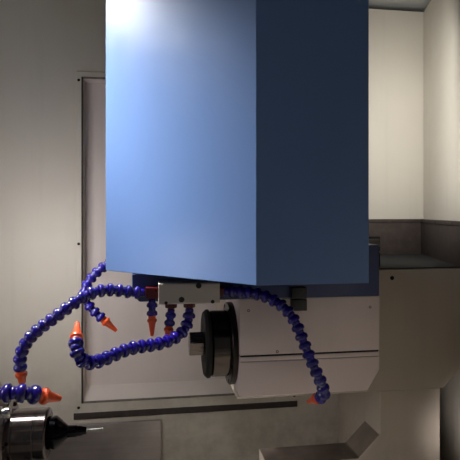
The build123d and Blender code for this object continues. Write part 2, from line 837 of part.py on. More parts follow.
def cover_plan(inset):
    """The cover's plan, inset by a wall: flat front, splayed left, straight back."""
    slope = inset * math.tan(math.radians(22.5))
    left = COVER_CORNER_X - COVER_SPLAY
    return [
        (COVER_RIGHT - inset, COVER_BACK + 1 if inset else COVER_BACK),
        (COVER_RIGHT - inset, COVER_FRONT + inset),
        (COVER_CORNER_X + slope, COVER_FRONT + inset),
        (left + inset, COVER_FRONT + COVER_SPLAY + slope),
        (left + inset, COVER_BACK + 1 if inset else COVER_BACK),
    ]


def blue_cover():
    """A folded sheet cover, open below and behind, with a lip round its lower edge.
    Its roof is cut back where it passes the saddle, and its side where the carrier comes out."""
    shell = extruded_xy(cover_plan(0), COVER_LOW, COVER_HIGH)
    hollow = extruded_xy(cover_plan(COVER_SHEET), COVER_LOW - 1, COVER_HIGH - COVER_SHEET)
    lip = extruded_xy(cover_plan(0), COVER_LOW, COVER_LOW + COVER_SHEET)
    lip -= extruded_xy(cover_plan(COVER_LIP), COVER_LOW - 1, COVER_LOW + COVER_SHEET + 1)
    notch = block(
        COVER_RIGHT - COVER_LIP - 1, COVER_RIGHT + 1, HEAD_FRONT, COVER_BACK + 1,
        COVER_LOW - 1, CARRIER_HIGH,
    )
    saddle_way = block(
        SADDLE_LEFT - COVER_GAP, SADDLE_RIGHT + COVER_GAP, lift_rail_front() - COVER_GAP, COVER_BACK + 1,
        COVER_HIGH - COVER_SHEET - 1, COVER_HIGH + 1,
    )
    return shell - hollow + lip - notch - saddle_way


def spindle_nose():
    """The fixed nose ring on the head's left face, which the hub runs in."""
    inner = SHAFT_RADIUS + 1
    return ring(NOSE_FACE, HEAD_LEFT, NOSE_RADIUS, inner, SPINDLE_Y, SPINDLE_Z)


def wheel_hub():
    """The hub with the shaft that runs back into the head."""
    end = HUB_LEFT - WHEEL_THICK - WHEEL_SPIGOT
    profile = [
        (end, 0),
        (HEAD_LEFT + SHAFT_LENGTH, 0),
        (HEAD_LEFT + SHAFT_LENGTH, SHAFT_RADIUS),
        (NOSE_FACE - PANEL_GAP, SHAFT_RADIUS),
        (NOSE_FACE - PANEL_GAP, HUB_RADIUS),
        (HUB_LEFT, HUB_RADIUS),
        (HUB_LEFT, WHEEL_BORE / 2 - RUN_GAP),
        (end, WHEEL_BORE / 2 - RUN_GAP),
    ]
    return turned(profile, SPINDLE_Y, SPINDLE_Z)


def grinding_wheel():
    """The thin wheel clamped between hub and nut, bevelled at its rim."""
    x0 = HUB_LEFT - WHEEL_THICK
    profile = [
        (x0, WHEEL_BORE / 2),
        (HUB_LEFT, WHEEL_BORE / 2),
        (HUB_LEFT, WHEEL_RADIUS),
        (x0 + WHEEL_THICK / 2, WHEEL_RADIUS),
        (x0, WHEEL_RADIUS - WHEEL_THICK / 2),
    ]
    return turned(profile, SPINDLE_Y, SPINDLE_Z)


def wheel_nut():
    """The hexagonal nut that clamps the wheel."""
    x1 = HUB_LEFT - WHEEL_THICK - WHEEL_SPIGOT
    middle = Pos(x1 - NUT_LENGTH / 2, SPINDLE_Y, SPINDLE_Z) * Rot(0, 90, 0)
    hexagon = extrude(RegularPolygon(NUT_ACROSS / 2, 6), amount=NUT_LENGTH / 2, both=True)
    return middle * hexagon


# Coolant manifold and hoses


def manifold():
    """The drilled block on the carrier's front that feeds the hoses."""
    body = block(
        MANIFOLD_LEFT, MANIFOLD_RIGHT, MANIFOLD_FRONT, HEAD_FRONT, MANIFOLD_LOW, MANIFOLD_HIGH
    )
    return chamfer(body.edges().filter_by(Axis.X).sort_by(Axis.Y)[:2], MANIFOLD_CHAMFER)


def fittings():
    """The screwed ports on the manifold's ends and underside, and the rear one."""
    tee = block(
        MANIFOLD_LEFT - TEE_LENGTH, MANIFOLD_LEFT, PORT_Y - TEE_HALF, PORT_Y + TEE_HALF,
        PORT_Z - TEE_HALF, PORT_Z + TEE_HALF,
    )
    ports = [tee]
    for start, way in (
        (RIGHT_PORT, TO_RIGHT), (LOWER_PORT, DOWN), (SHORT_PORT, DOWN), (REAR_PORT, TO_LEFT),
    ):
        plane = Plane(origin=start, z_dir=way)
        ports.append(extrude(plane * RegularPolygon(PORT_RADIUS, 6), amount=PORT_LENGTH))
    return ports


def faceted(start, way, stations):
    """A many-sided solid along an axis, with flat faces between (distance, radius) rings."""
    plane = Plane(origin=start, x_dir=(0, 1, 0), z_dir=way)
    corners = [math.radians(360 * i / LINK_SIDES) for i in range(LINK_SIDES)]
    rings = [
        [plane.from_local_coords((r * math.cos(a), r * math.sin(a), z)) for a in corners]
        for z, r in stations
    ]
    outlines = [rings[0], rings[-1]]
    for near, far in zip(rings, rings[1:]):
        for i in range(LINK_SIDES):
            outlines.append([near[i - 1], near[i], far[i], far[i - 1]])
    return Solid(Shell([Face(Wire.make_polygon(outline)) for outline in outlines]))


def port_ball(port, way, radius):
    """Where the first ball of a hose stands off its port, which sticks out of the metal."""
    reach = PORT_LENGTH + BALL_STANDOFF * radius / HOSE_RADIUS
    return tuple(p + reach * w for p, w in zip(port, way))


def route(start, bends):
    """A hose's points, from its first ball through its bends."""
    return [start] + [tuple(s + b for s, b in zip(start, bend)) for bend in bends]


def big_routes():
    """The five large hoses: each from its port's first ball."""
    tee_end = (MANIFOLD_LEFT - TEE_LENGTH - BALL_STANDOFF, PORT_Y, PORT_Z)
    stand_end = (STAND_TIP + WORK_STANDOFF, STAND_Y, STAND_Z)
    return {
        "left": route(tee_end, LEFT_BENDS),
        "lower": route(port_ball(LOWER_PORT, DOWN, HOSE_RADIUS), LOWER_BENDS),
        "right": route(port_ball(RIGHT_PORT, TO_RIGHT, HOSE_RADIUS), RIGHT_BENDS),
        "work": route(stand_end, WORK_BENDS),
        "rear": route(port_ball(REAR_PORT, TO_LEFT, HOSE_RADIUS), REAR_BENDS),
    }


def small_routes():
    """The two short hoses, under the tee and under the manifold."""
    tee_low = (TEE_X, PORT_Y, PORT_Z - TEE_HALF - SMALL_STANDOFF)
    return [
        route(tee_low, TEE_BENDS),
        route(port_ball(SHORT_PORT, DOWN, SMALL_HOSE_RADIUS), SHORT_BENDS),
    ]


def joint_centres(points, pitch):
    """Ball centres about a pitch apart along a smooth curve, from port to nozzle."""
    curve = Spline(*points) if len(points) > 2 else Line(*points)
    count = round(curve.length / pitch)
    steps = [curve.length * i / count for i in range(count + 1)]
    return [curve.position_at(s, position_mode=PositionMode.LENGTH) for s in steps]


def link(start, toward, radius):
    """One hose link: its ball end sits in the link before, its socket takes the next."""
    k = radius / HOSE_RADIUS
    pitch = (toward - start).length
    mouth = pitch - SOCKET_MOUTH * k
    rings = [
        (-BALL_BACK * k, BALL_BACK_RADIUS * k),
        (0, BALL_RADIUS * k),
        (mouth, radius),
        (mouth, SOCKET_MOUTH_RADIUS * k),
        (pitch - SOCKET_DEPTH * k, SOCKET_BACK_RADIUS * k),
    ]
    return faceted(start, toward - start, rings)


def hose(points, radius, pitch):
    """The links of one hose along its route, ball in socket from port to nozzle."""
    centres = joint_centres(points, pitch)
    return [link(a, b, radius) for a, b in zip(centres, centres[1:])]


def nozzle(points, length, radius, pitch):
    """The tapered nozzle in the last link's socket, with a gripping collar behind."""
    k = radius / HOSE_RADIUS
    rings = [
        (-BALL_BACK * k, BALL_BACK_RADIUS * k),
        (0, BALL_RADIUS * k),
        (COLLAR_START * k, COLLAR_RADIUS * k),
        (COLLAR_END * k, NECK_RADIUS * k),
        (length, TIP_RADIUS * k),
    ]
    last, end = joint_centres(points, pitch)[-2:]
    return faceted(end, end - last, rings)


# Work head


def table_rails():
    rails = []
    for x in (TABLE_LEFT + TABLE_RAIL_INSET, TABLE_RIGHT - TABLE_RAIL_INSET):
        rails.append(
            block(
                x - RAIL_WIDTH / 2, x + RAIL_WIDTH / 2,
                TABLE_FRONT - TABLE_TRAVEL_FRONT, TABLE_BACK + TABLE_TRAVEL_BACK,
                BED_TOP + TRAY_THICK, TABLE_LOW - RAIL_GAP,
            )
        )
    return rails


def work_table():
    """The table with a groove over each rail and a stepped edge."""
    table = block(TABLE_LEFT, TABLE_RIGHT, TABLE_FRONT, TABLE_BACK, TABLE_LOW - TABLE_SKIRT, TABLE_HIGH)
    for x in (TABLE_LEFT + TABLE_RAIL_INSET, TABLE_RIGHT - TABLE_RAIL_INSET):
        half = RAIL_WIDTH / 2 + RAIL_GAP
        table -= block(
            x - half, x + half, TABLE_FRONT - 1, TABLE_BACK + 1, TABLE_LOW - TABLE_SKIRT - 1, TABLE_LOW
        )
    return chamfer(table.edges().filter_by(Axis.Y).group_by(Axis.Z)[-1], TABLE_CHAMFER)


def swivel_base():
    """The round swivel with the pedestal that lifts the work spindle."""
    disc = Pos(PIVOT_X, WORK_Y, (TABLE_HIGH + RAIL_GAP + SWIVEL_HIGH) / 2) * Cylinder(
        SWIVEL_RADIUS, SWIVEL_HIGH - TABLE_HIGH - RAIL_GAP
    )
    outline = [
        (PIVOT_X - PEDESTAL_HALF - PEDESTAL_FLARE, SWIVEL_HIGH - 1),
        (PIVOT_X + PEDESTAL_HALF + PEDESTAL_FLARE, SWIVEL_HIGH - 1),
        (PIVOT_X + PEDESTAL_HALF, WORK_LOW),
        (PIVOT_X - PEDESTAL_HALF, WORK_LOW),
    ]
    return disc + extruded_xz(outline, WORK_Y - WORK_HALF_WIDTH, WORK_Y + WORK_HALF_WIDTH)


def work_housing():
    """The work spindle's housing, with bevelled upper edges."""
    body = block(
        WORK_LEFT, WORK_RIGHT, WORK_Y - WORK_HALF_WIDTH, WORK_Y + WORK_HALF_WIDTH, WORK_LOW, WORK_HIGH
    )
    body = chamfer(body.edges().filter_by(Axis.X).group_by(Axis.Z)[-1], WORK_CHAMFER)
    return body + hose_stand()


def hose_stand():
    """The square arm on the housing's front that holds the work head's hose."""
    x0 = WORK_RIGHT - 3 * STAND_SIZE / 2
    y0 = STAND_Y - STAND_SIZE / 2
    z0, z1 = STAND_Z - STAND_SIZE / 2, STAND_Z + STAND_SIZE / 2
    front = WORK_Y - WORK_HALF_WIDTH
    low = WORK_Z + CHUCK_RADIUS / 2
    arm = block(x0, x0 + STAND_SIZE, y0, front + 1, low, low + STAND_SIZE)
    post = block(x0, x0 + STAND_SIZE, y0, y0 + STAND_SIZE, low, z1)
    return arm + post + block(x0, STAND_TIP, y0, y0 + STAND_SIZE, z0, z1)


def work_chuck():
    """The flange and steel cylinder of the work spindle."""
    x0 = WORK_RIGHT + RUN_GAP
    profile = [
        (x0, 0),
        (CHUCK_FACE, 0),
        (CHUCK_FACE, CHUCK_RADIUS),
        (CHUCK_FLANGE_FACE, CHUCK_RADIUS),
        (CHUCK_FLANGE_FACE, CHUCK_FLANGE_RADIUS),
        (x0, CHUCK_FLANGE_RADIUS),
    ]
    return turned(profile, WORK_Y, WORK_Z)


def collet_nut():
    """The black nut on the chuck's face, tapering to the collet's nose."""
    profile = [
        (CHUCK_FACE, 0),
        (NOSE_END - TOOL_SEAT, 0),
        (NOSE_END - TOOL_SEAT, TOOL_RADIUS + RUN_GAP),
        (NOSE_END, TOOL_RADIUS + RUN_GAP),
        (NOSE_END, COLLET_RADIUS),
        (NOSE_START, COLLET_RADIUS),
        (NOSE_START, CONE_SMALL),
        (CHUCK_FACE + CONE_BAND, CONE_RADIUS),
        (CHUCK_FACE, CONE_RADIUS),
    ]
    return turned(profile, WORK_Y, WORK_Z)


def tool_blank():
    x0 = NOSE_END - TOOL_SEAT
    middle = Pos((x0 + TOOL_END) / 2, WORK_Y, WORK_Z) * Rot(0, 90, 0)
    return middle * Cylinder(TOOL_RADIUS, TOOL_END - x0)


# Cabinet, panel and lamp


def cabinet_box():
    """The electrical cabinet: a box open to the rear, with a door all over."""
    w = CABINET_HALF_WIDTH
    return folded_pan(-w, w, CABINET_FRONT, CABINET_BACK, CABINET_LOW, CABINET_HIGH, "+y")


def cabinet_door(side):
    """One of two leaves, with a latch near the middle."""
    y0 = CABINET_BACK + PANEL_GAP
    y1 = y0 + DOOR_THICK - PANEL_GAP
    w = CABINET_HALF_WIDTH
    leaf = block(min(0, side * w), max(0, side * w), y0, y1, CABINET_LOW, CABINET_HIGH)
    trim = block(-1, 1, y0 - 1, y1 + 1, CABINET_LOW - 1, CABINET_HIGH + 1)
    leaf -= trim
    mid = (CABINET_LOW + CABINET_HIGH) / 2
    x = side * 3 * LATCH_WIDTH
    latch = block(
        x - LATCH_WIDTH / 2, x + LATCH_WIDTH / 2, y1, y1 + LATCH_REACH,
        mid - LATCH_LENGTH / 2, mid + LATCH_LENGTH / 2,
    )
    leaf += latch
    x0, x1 = sorted((side * w, side * (w - HINGE_WIDTH)))
    for z in (CABINET_LOW + 2 * HINGE_LENGTH, mid, CABINET_HIGH - 2 * HINGE_LENGTH):
        leaf += block(x0, x1, y1, y1 + HINGE_REACH, z - HINGE_LENGTH / 2, z + HINGE_LENGTH / 2)
    return leaf


def drive_units():
    """The drives in a row on the cabinet's back plate, and the plate itself."""
    y0 = CABINET_FRONT + SHEET
    z0 = (CABINET_LOW + CABINET_HIGH) / 2
    half = CABINET_HALF_WIDTH - PLATE_MARGIN
    low, high = CABINET_LOW + PLATE_MARGIN, CABINET_HIGH - PLATE_MARGIN
    plate = block(-half, half, y0, y0 + SHEET, low, high)
    for i in range(DRIVE_COUNT):
        x = (i - (DRIVE_COUNT - 1) / 2) * DRIVE_PITCH
        plate += block(
            x - DRIVE_WIDTH / 2, x + DRIVE_WIDTH / 2, y0 + SHEET, y0 + SHEET + DRIVE_DEPTH,
            z0, z0 + DRIVE_HEIGHT,
        )
    return plate


def operator_panel():
    """The control box on the front with its keys; the screen is let in above them."""
    y0 = FRONT_FACE - PENDANT_DEPTH
    body = block(PENDANT_LEFT, PENDANT_RIGHT, y0, FRONT_FACE, PENDANT_LOW, PENDANT_HIGH)
    body = chamfer(body.edges().filter_by(Axis.X).sort_by(Axis.Y)[:2], PENDANT_CHAMFER)
    x0, x1, sy0, sy1, z0, z1 = screen_box()
    body -= block(x0 - SEAT_GAP, x1 + SEAT_GAP, y0 - 1, sy1 + RUN_GAP, z0 - SEAT_GAP, z1 + SEAT_GAP)
    for row in range(KEY_ROWS):
        for column in range(KEY_COLUMNS):
            x = PENDANT_LEFT + SCREEN_MARGIN + column * KEY_PITCH
            z = PENDANT_LOW + SCREEN_MARGIN + row * KEY_PITCH
            body += block(x, x + KEY_SIZE, y0 - KEY_RISE, y0 + 1, z, z + KEY_SIZE)
    depth = STOP_RISE + STOP_TRAVEL + 1
    return body - stop_place() * Cylinder(STOP_STEM + RUN_GAP, 2 * depth)


def screen_box():
    y0 = FRONT_FACE - PENDANT_DEPTH
    z1 = PENDANT_HIGH - SCREEN_MARGIN
    return (
        PENDANT_LEFT + SCREEN_MARGIN, PENDANT_RIGHT - SCREEN_MARGIN,
        y0 + SCREEN_SINK, y0 + SCREEN_SINK + SCREEN_THICK, z1 - SCREEN_HEIGHT, z1,
    )


def stop_place():
    x = PENDANT_RIGHT - SCREEN_MARGIN - STOP_RADIUS
    z = PENDANT_LOW + SCREEN_MARGIN + 1.5 * KEY_PITCH + KEY_SIZE / 2
    return Pos(x, FRONT_FACE - PENDANT_DEPTH, z) * Rot(90, 0, 0)


def stop_button():
    """The mushroom button at the panel's lower right, on a stem that runs in the panel."""
    stem = Cylinder(STOP_STEM, 2 * STOP_RISE)
    cap = Pos(0, 0, STOP_RISE + STOP_CAP / 2) * Cylinder(STOP_RADIUS, STOP_CAP)
    return stop_place() * (stem + cap)


def work_light():
    """A long lamp under the roof on the left."""
    z1 = CABIN_TOP - SHEET
    lamp = block(LAMP_LEFT, LAMP_LEFT + LAMP_WIDTH, -LAMP_LENGTH, 0, z1 - LAMP_DEPTH, z1)
    return chamfer(lamp.edges().filter_by(Axis.Y).group_by(Axis.Z)[0], LAMP_CHAMFER)


def main():
    os.makedirs("parts", exist_ok=True)
    save("levelling_feet", *levelling_feet())
    save("bed_casting", bed_casting())
    save("base_skirts", *base_skirts())
    save("chip_tray", chip_tray())
    save("side_panels", side_panel(-1), side_panel(1))
    save("rear_panel", rear_panel())
    save("roof_panel", roof_panel())
    save("front_frame", *front_frame())
    save("door_tracks", *door_tracks())
    save("left_door_leaf", door_leaf(-1))
    save("right_door_leaf", door_leaf(1))
    save("left_door_window", door_window(-1))
    save("right_door_window", door_window(1))
    save("rear_wall", rear_wall())
    save("recess_pan", recess_pan())
    save("recess_trim", recess_trim())
    save("splash_plate", splash_plate())
    save("slanted_wall", slanted_wall())
    save("column_foot", column_foot())
    save("bridge_housing", bridge_housing())
    save("mast", mast())
    save("slide_rails", *cross_rails(), *table_rails())
    save("cross_saddle", cross_saddle())
    save("lift_rails", *lift_rails())
    save("ram", ram())
    save("head_carrier", head_carrier())
    save("head_upper", head_upper())
    save("head_lower", head_lower())
    save("blue_cover", blue_cover())
    save("spindle_nose", spindle_nose())
    save("wheel_hub", wheel_hub())
    save("grinding_wheel", grinding_wheel())
    save("wheel_nut", wheel_nut())
    save("coolant_manifold", manifold())
    save("coolant_fittings", *fittings())
    big = (HOSE_RADIUS, HOSE_PITCH)
    small = (SMALL_HOSE_RADIUS, SMALL_HOSE_PITCH)
    for name, points in big_routes().items():
        size = (WORK_HOSE_RADIUS, WORK_HOSE_PITCH) if name == "work" else big
        if name != "rear":
            save(name + "_hose", *hose(points, *size))
            save(name + "_nozzle", nozzle(points, NOZZLE_LENGTH, *size))
    rear = big_routes()["rear"]
    save("rear_hose", *hose(rear, *big))
    save("short_hoses", *[part for points in small_routes() for part in hose(points, *small)])
    short_nozzles = [nozzle(points, SHORT_NOZZLE_LENGTH, *small) for points in small_routes()]
    save("head_nozzles", nozzle(rear, NOZZLE_LENGTH, *big), *short_nozzles)
    save("work_table", work_table())
    save("swivel_base", swivel_base())
    save("work_housing", work_housing())
    save("work_chuck", work_chuck())
    save("collet_nut", collet_nut())
    save("tool_blank", tool_blank())
    save("cabinet_box", cabinet_box())
    save("left_cabinet_door", cabinet_door(-1))
    save("right_cabinet_door", cabinet_door(1))
    save("drive_units", drive_units())
    save("operator_panel", operator_panel())
    x0, x1, y0, y1, z0, z1 = screen_box()
    save("panel_screen", block(x0, x1, y0, y1, z0, z1))
    save("stop_button", stop_button())
    save("work_light", work_light())


main()
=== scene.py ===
import json
import math

import bmesh
import bpy
from mathutils import Matrix, Vector
import numpy

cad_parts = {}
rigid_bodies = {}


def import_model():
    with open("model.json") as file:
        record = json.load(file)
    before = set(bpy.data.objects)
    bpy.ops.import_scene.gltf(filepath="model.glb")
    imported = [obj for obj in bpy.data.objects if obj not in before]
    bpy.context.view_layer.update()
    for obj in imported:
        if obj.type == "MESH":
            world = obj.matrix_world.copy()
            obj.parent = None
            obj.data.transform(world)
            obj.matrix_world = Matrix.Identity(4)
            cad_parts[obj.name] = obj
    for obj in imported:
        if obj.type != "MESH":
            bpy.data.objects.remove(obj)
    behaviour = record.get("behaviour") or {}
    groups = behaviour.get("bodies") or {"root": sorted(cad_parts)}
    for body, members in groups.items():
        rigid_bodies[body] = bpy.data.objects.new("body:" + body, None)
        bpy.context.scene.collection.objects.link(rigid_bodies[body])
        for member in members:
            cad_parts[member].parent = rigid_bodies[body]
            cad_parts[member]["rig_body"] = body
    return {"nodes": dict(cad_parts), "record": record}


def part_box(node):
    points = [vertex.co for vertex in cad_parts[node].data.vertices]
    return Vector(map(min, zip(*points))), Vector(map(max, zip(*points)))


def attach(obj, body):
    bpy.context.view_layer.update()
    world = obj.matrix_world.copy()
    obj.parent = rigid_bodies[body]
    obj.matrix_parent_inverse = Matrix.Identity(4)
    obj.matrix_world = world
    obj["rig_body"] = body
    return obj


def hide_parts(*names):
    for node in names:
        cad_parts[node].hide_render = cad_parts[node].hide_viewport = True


# The looks of a five-axis tool grinder, seen through its open front.
# Everything is in metres in the machine's frame; sizes written as millimetres carry MM.

MM = 0.001
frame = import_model()
NODES = frame["nodes"]
SLOTS = {part["node"]: part["material_slot"] for part in frame["record"]["subparts"]}
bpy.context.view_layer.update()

# Camera of the photograph: its focal length in pixels, its place, its turn to the right
IMAGE_SIZE = 460
FOCAL_PIXELS = 520
HORIZON_ROW = 212
CAMERA_PLACE = (0.0, -0.925, 1.400)
CAMERA_TURN = 8.8
SENSOR_WIDTH = 36

# Wheel head housing, as the source draws it
HEAD_CUT_X = 22 * MM
HEAD_CUT_Z = 35 * MM
SEAM_STEP = 10 * MM
SWITCH_LEFT, SWITCH_RIGHT = 234 * MM, 260 * MM
SWITCH_DROP, SWITCH_RISE = 20 * MM, 19 * MM

# Slant of the slanted wall, and the apron that stands on the walls above the bridge
WALL_SLANT = math.atan(0.29)
APRON_HEIGHT, APRON_LENGTH = 98 * MM, 0.60
APRON_THICKNESS, APRON_FOLD_DEPTH, APRON_FOLD_HEIGHT = 2.5 * MM, 5 * MM, 10 * MM
APRON_SCREWS = 5

# Right side of the mast: the width and height of the black sheet there, which is painted shade, the two ends
# of the strips beside the mast, and each strip's lower and upper edge there, above the bridge, in millimetres
SHADE_SHEET_WIDTH, SHADE_SHEET_HEIGHT = 61 * MM, 67 * MM
STRIP_ENDS = (0.5, 59)
STRIP_ROWS = (((57, 62), (45, 62)), ((39, 43), (33, 36)))

# Screw on the bridge's face: its place, and its depth below the bridge's top
BRIDGE_SCREW_X, BRIDGE_SCREW_DROP = 0.496, 17.5 * MM

# Screws of the cabin: radius, distance from an edge, pitch along the skirts, number in a row,
# and the distance of a side's row from front and rear
CABIN_SCREW, CABIN_INSET, SKIRT_PITCH, ROW_COUNT = 5 * MM, 22 * MM, 250 * MM, 5
SIDE_MARGIN = 0.10

# Plane that the window seals sit on, behind the foremost point of a door leaf
SEAL_DEPTH = 16 * MM

# Screw circles of the spindle nose and the work chuck
NOSE_SCREWS, NOSE_SCREW_CIRCLE = 8, 66.5 * MM
CHUCK_SCREWS, CHUCK_SCREW_CIRCLE = 6, 51 * MM

# Bright fitting on the work head's face, below its hose, clear of the left nozzle
FITTING_Y, FITTING_Z = -185 * MM, 1129 * MM

# Cabinet louvres: two groups on each door, one below its top and one above its foot
LOUVRE_COUNT, LOUVRE_PITCH, LOUVRE_HEIGHT = 9, 15 * MM, 7 * MM
LOUVRE_HALF_WIDTH = 80 * MM
LOUVRE_DROP, LOUVRE_RISE = 0.30, 0.16

# Edges of a CAD node that turn by more than this many degrees are rounded
SHARP_ANGLE = 30


def srgb(red, green, blue):
    """A colour written as screen values from 0 to 255, as the shaders take it."""
    values = []
    for channel in (red, green, blue):
        c = channel / 255
        values.append(c / 12.92 if c <= 0.04045 else ((c + 0.055) / 1.055) ** 2.4)
    return (*values, 1.0)


def shade(colour, factor):
    """The same colour, darker or lighter."""
    return (*[min(1.0, c * factor) for c in colour[:3]], 1.0)


# Material building blocks


class Shader:
    """One procedural material, with short ways to add its noise, mixes and bumps."""

    def __init__(self, name):
        self.material = bpy.data.materials.new(name)
        self.material.use_nodes = True
        self.tree = self.material.node_tree
        self.bsdf = self.tree.nodes["Principled BSDF"]
        self.where = self.tree.nodes.new("ShaderNodeTexCoord").outputs["Object"]
        self.last_bump = None

    def add(self, kind, **settings):
        node = self.tree.nodes.new("ShaderNode" + kind)
        for key, value in settings.items():
            setattr(node, key, value)
        return node

    def link(self, source, target):
        self.tree.links.new(source, target)

    def stretched(self, scale, turn=(0, 0, 0)):
        mapping = self.add("Mapping")
        mapping.inputs["Scale"].default_value = scale
        mapping.inputs["Rotation"].default_value = turn
        self.link(self.where, mapping.inputs["Vector"])
        return mapping.outputs["Vector"]

    def noise(self, scale, detail=3.0, rough=0.5, where=None):
        node = self.add("TexNoise")
        node.inputs["Scale"].default_value = scale
        node.inputs["Detail"].default_value = detail
        node.inputs["Roughness"].default_value = rough
        self.link(where or self.where, node.inputs["Vector"])
        return node.outputs[0]

    def cells(self, scale):
        node = self.add("TexVoronoi")
        node.inputs["Scale"].default_value = scale
        self.link(self.where, node.inputs["Vector"])
        return node.outputs["Distance"]

    def height(self):
        """How high a point is above the floor, in metres."""
        split = self.add("SeparateXYZ")
        self.link(self.where, split.inputs[0])
        return split.outputs["Z"]

    def spread(self, value, low, high, to_low=0.0, to_high=1.0):
        node = self.add("MapRange")
        self.link(value, node.inputs["Value"])
        for name, number in (
            ("From Min", low), ("From Max", high), ("To Min", to_low), ("To Max", to_high),
        ):
            node.inputs[name].default_value = number
        return node.outputs[0]

    def mix(self, factor, first, second):
        node = self.add("Mix", data_type="RGBA", blend_type="MIX")
        for socket, value in ((node.inputs[0], factor), (node.inputs[6], first), (node.inputs[7], second)):
            if isinstance(value, bpy.types.NodeSocket):
                self.link(value, socket)
            else:
                socket.default_value = value
        return node.outputs[2]

    def times(self, first, second):
        node = self.add("Math", operation="MULTIPLY")
        self.link(first, node.inputs[0])
        if isinstance(second, bpy.types.NodeSocket):
            self.link(second, node.inputs[1])
        else:
            node.inputs[1].default_value = second
        return node.outputs[0]

    def bump(self, value, strength, depth):
        node = self.add("Bump")
        node.inputs["Strength"].default_value = strength
        node.inputs["Distance"].default_value = depth
        self.link(value, node.inputs["Height"])
        if self.last_bump:
            self.link(self.last_bump, node.inputs["Normal"])
        self.last_bump = node.outputs["Normal"]

    def done(self, colour, rough, **fixed):
        self.link(colour, self.bsdf.inputs["Base Color"])
        if isinstance(rough, bpy.types.NodeSocket):
            self.link(rough, self.bsdf.inputs["Roughness"])
        else:
            self.bsdf.inputs["Roughness"].default_value = rough
        if self.last_bump:
            self.link(self.last_bump, self.bsdf.inputs["Normal"])
        for name, value in fixed.items():
            self.bsdf.inputs[name.replace("_", " ")].default_value = value
        return self.material


def paint(name, colour, rough, blotch=0.07, grain=420, grain_depth=0.10, runs=0.10, grime=None,
          polish=0.05, painted_top_tone_and_sludge=0.0, painted_top_colour=None, **fixed):
    """Sprayed paint: cloudy tone, orange-peel bump, faint coolant runs, grime that gathers low,
    and another tone on faces that look up: dark, partly grinding slurry and partly painted shade,
    or a lighter colour that is given, which is painted light."""
    s = Shader(name)
    clouds = s.spread(s.noise(2.2, 4), 0.32, 0.68)
    tone = s.mix(clouds, shade(colour, 1 - blotch), shade(colour, 1 + blotch))
    streaks = s.spread(s.noise(3.2, 5, 0.62, s.stretched((9, 9, 0.55))), 0.52, 0.80, 0, runs)
    tone = s.mix(streaks, tone, shade(colour, 0.52))
    if grime:
        level = s.spread(s.height(), grime[0], grime[1], 1.0, 0.0)
        spots = s.times(s.spread(s.noise(14, 6, 0.7), 0.42, 0.78), level)
        tone = s.mix(spots, tone, shade(colour, 0.38))
    # Faces that look up take another tone: a dark one, partly grinding slurry and partly painted shade, or a
    # lighter given colour, which is painted light.
    if painted_top_tone_and_sludge:
        facing = s.add("SeparateXYZ")
        s.link(s.add("NewGeometry").outputs["Normal"], facing.inputs[0])
        top_shading = s.spread(facing.outputs["Z"], 0.4, 0.8, 0, painted_top_tone_and_sludge)
        top_shading = s.times(top_shading, s.spread(s.noise(18, 5, 0.6), 0.2, 0.6, 0.75, 1.0))
        tone = s.mix(top_shading, tone, painted_top_colour or SLUDGE_AND_TOP_SHADE)
    s.bump(s.noise(grain, 2), grain_depth, 0.35 * MM)
    s.bump(s.noise(grain * 0.12, 2), grain_depth * 0.6, 0.8 * MM)
    return s.done(tone, s.spread(s.noise(26, 2), 0.3, 0.7, rough - polish, rough + polish), **fixed)


def ground_metal(name, colour, rough, stretch, lines=0.14, stain=0.10):
    """Ground or brushed metal: fine lines along one way, a cloudy oxide tone, scattered scratches."""
    s = Shader(name)
    fine = s.noise(1.0, 6, 0.72, s.stretched(stretch))
    clouds = s.spread(s.noise(7, 4), 0.34, 0.7)
    tone = s.mix(s.spread(fine, 0.3, 0.7), shade(colour, 0.80), shade(colour, 1.14))
    tone = s.mix(s.times(clouds, stain), tone, shade(colour, 0.34))
    scratches = s.spread(s.noise(5, 8, 0.8, s.stretched((2, 55, 14), (0.3, 0.5, 0.8))), 0.66, 0.72)
    tone = s.mix(s.times(scratches, 0.30), tone, shade(colour, 1.5))
    polish = s.spread(fine, 0.25, 0.75, rough - 0.08, rough + 0.12)
    s.bump(fine, lines, 0.06 * MM)
    s.bump(s.noise(60, 3), 0.03, 0.5 * MM)
    return s.done(tone, polish, Metallic=1.0)


def cast_metal(name, colour, rough):
    """Scraped cast iron: pitted grain with oily patches."""
    s = Shader(name)
    pits = s.noise(240, 5, 0.6)
    oil = s.spread(s.noise(9, 4), 0.40, 0.66)
    tone = s.mix(s.spread(pits, 0.3, 0.7), shade(colour, 0.78), shade(colour, 1.16))
    tone = s.mix(s.times(oil, 0.35), tone, shade(colour, 0.5))
    s.bump(pits, 0.18, 0.3 * MM)
    return s.done(tone, s.spread(oil, 0, 1, rough + 0.08, rough - 0.14), Metallic=0.85)


def plastic(name, colour, rough, cloud=0.10, grain=900, **fixed):
    """Moulded plastic: slight flow marks in the tone, a fine skin, uneven polish."""
    s = Shader(name)
    flow = s.spread(s.noise(70, 4), 0.34, 0.68)
    tone = s.mix(flow, shade(colour, 1 - cloud), shade(colour, 1 + cloud))
    film = s.spread(s.noise(22, 3), 0.45, 0.75, 0, 0.22)
    tone = s.mix(film, tone, shade(colour, 0.55))
    s.bump(s.noise(grain, 2), 0.05, 0.15 * MM)
    return s.done(tone, s.spread(s.noise(150, 3), 0.3, 0.7, rough - 0.05, rough + 0.08), **fixed)


def rubber(name, colour):
    s = Shader(name)
    dust = s.spread(s.noise(45, 5, 0.7), 0.45, 0.75, 0, 0.4)
    tone = s.mix(dust, colour, shade(colour, 2.4))
    s.bump(s.noise(1300, 2), 0.2, 0.15 * MM)
    return s.done(tone, 0.75)


def bonded_grit(name, bond, grain):
    """A grinding wheel's rim and body: close-set grains in a dark bond."""
    s = Shader(name)
    grit = s.cells(2200)
    s.bump(grit, 0.5, 0.12 * MM)
    return s.done(s.mix(s.spread(grit, 0.05, 0.5), bond, grain), 0.7)


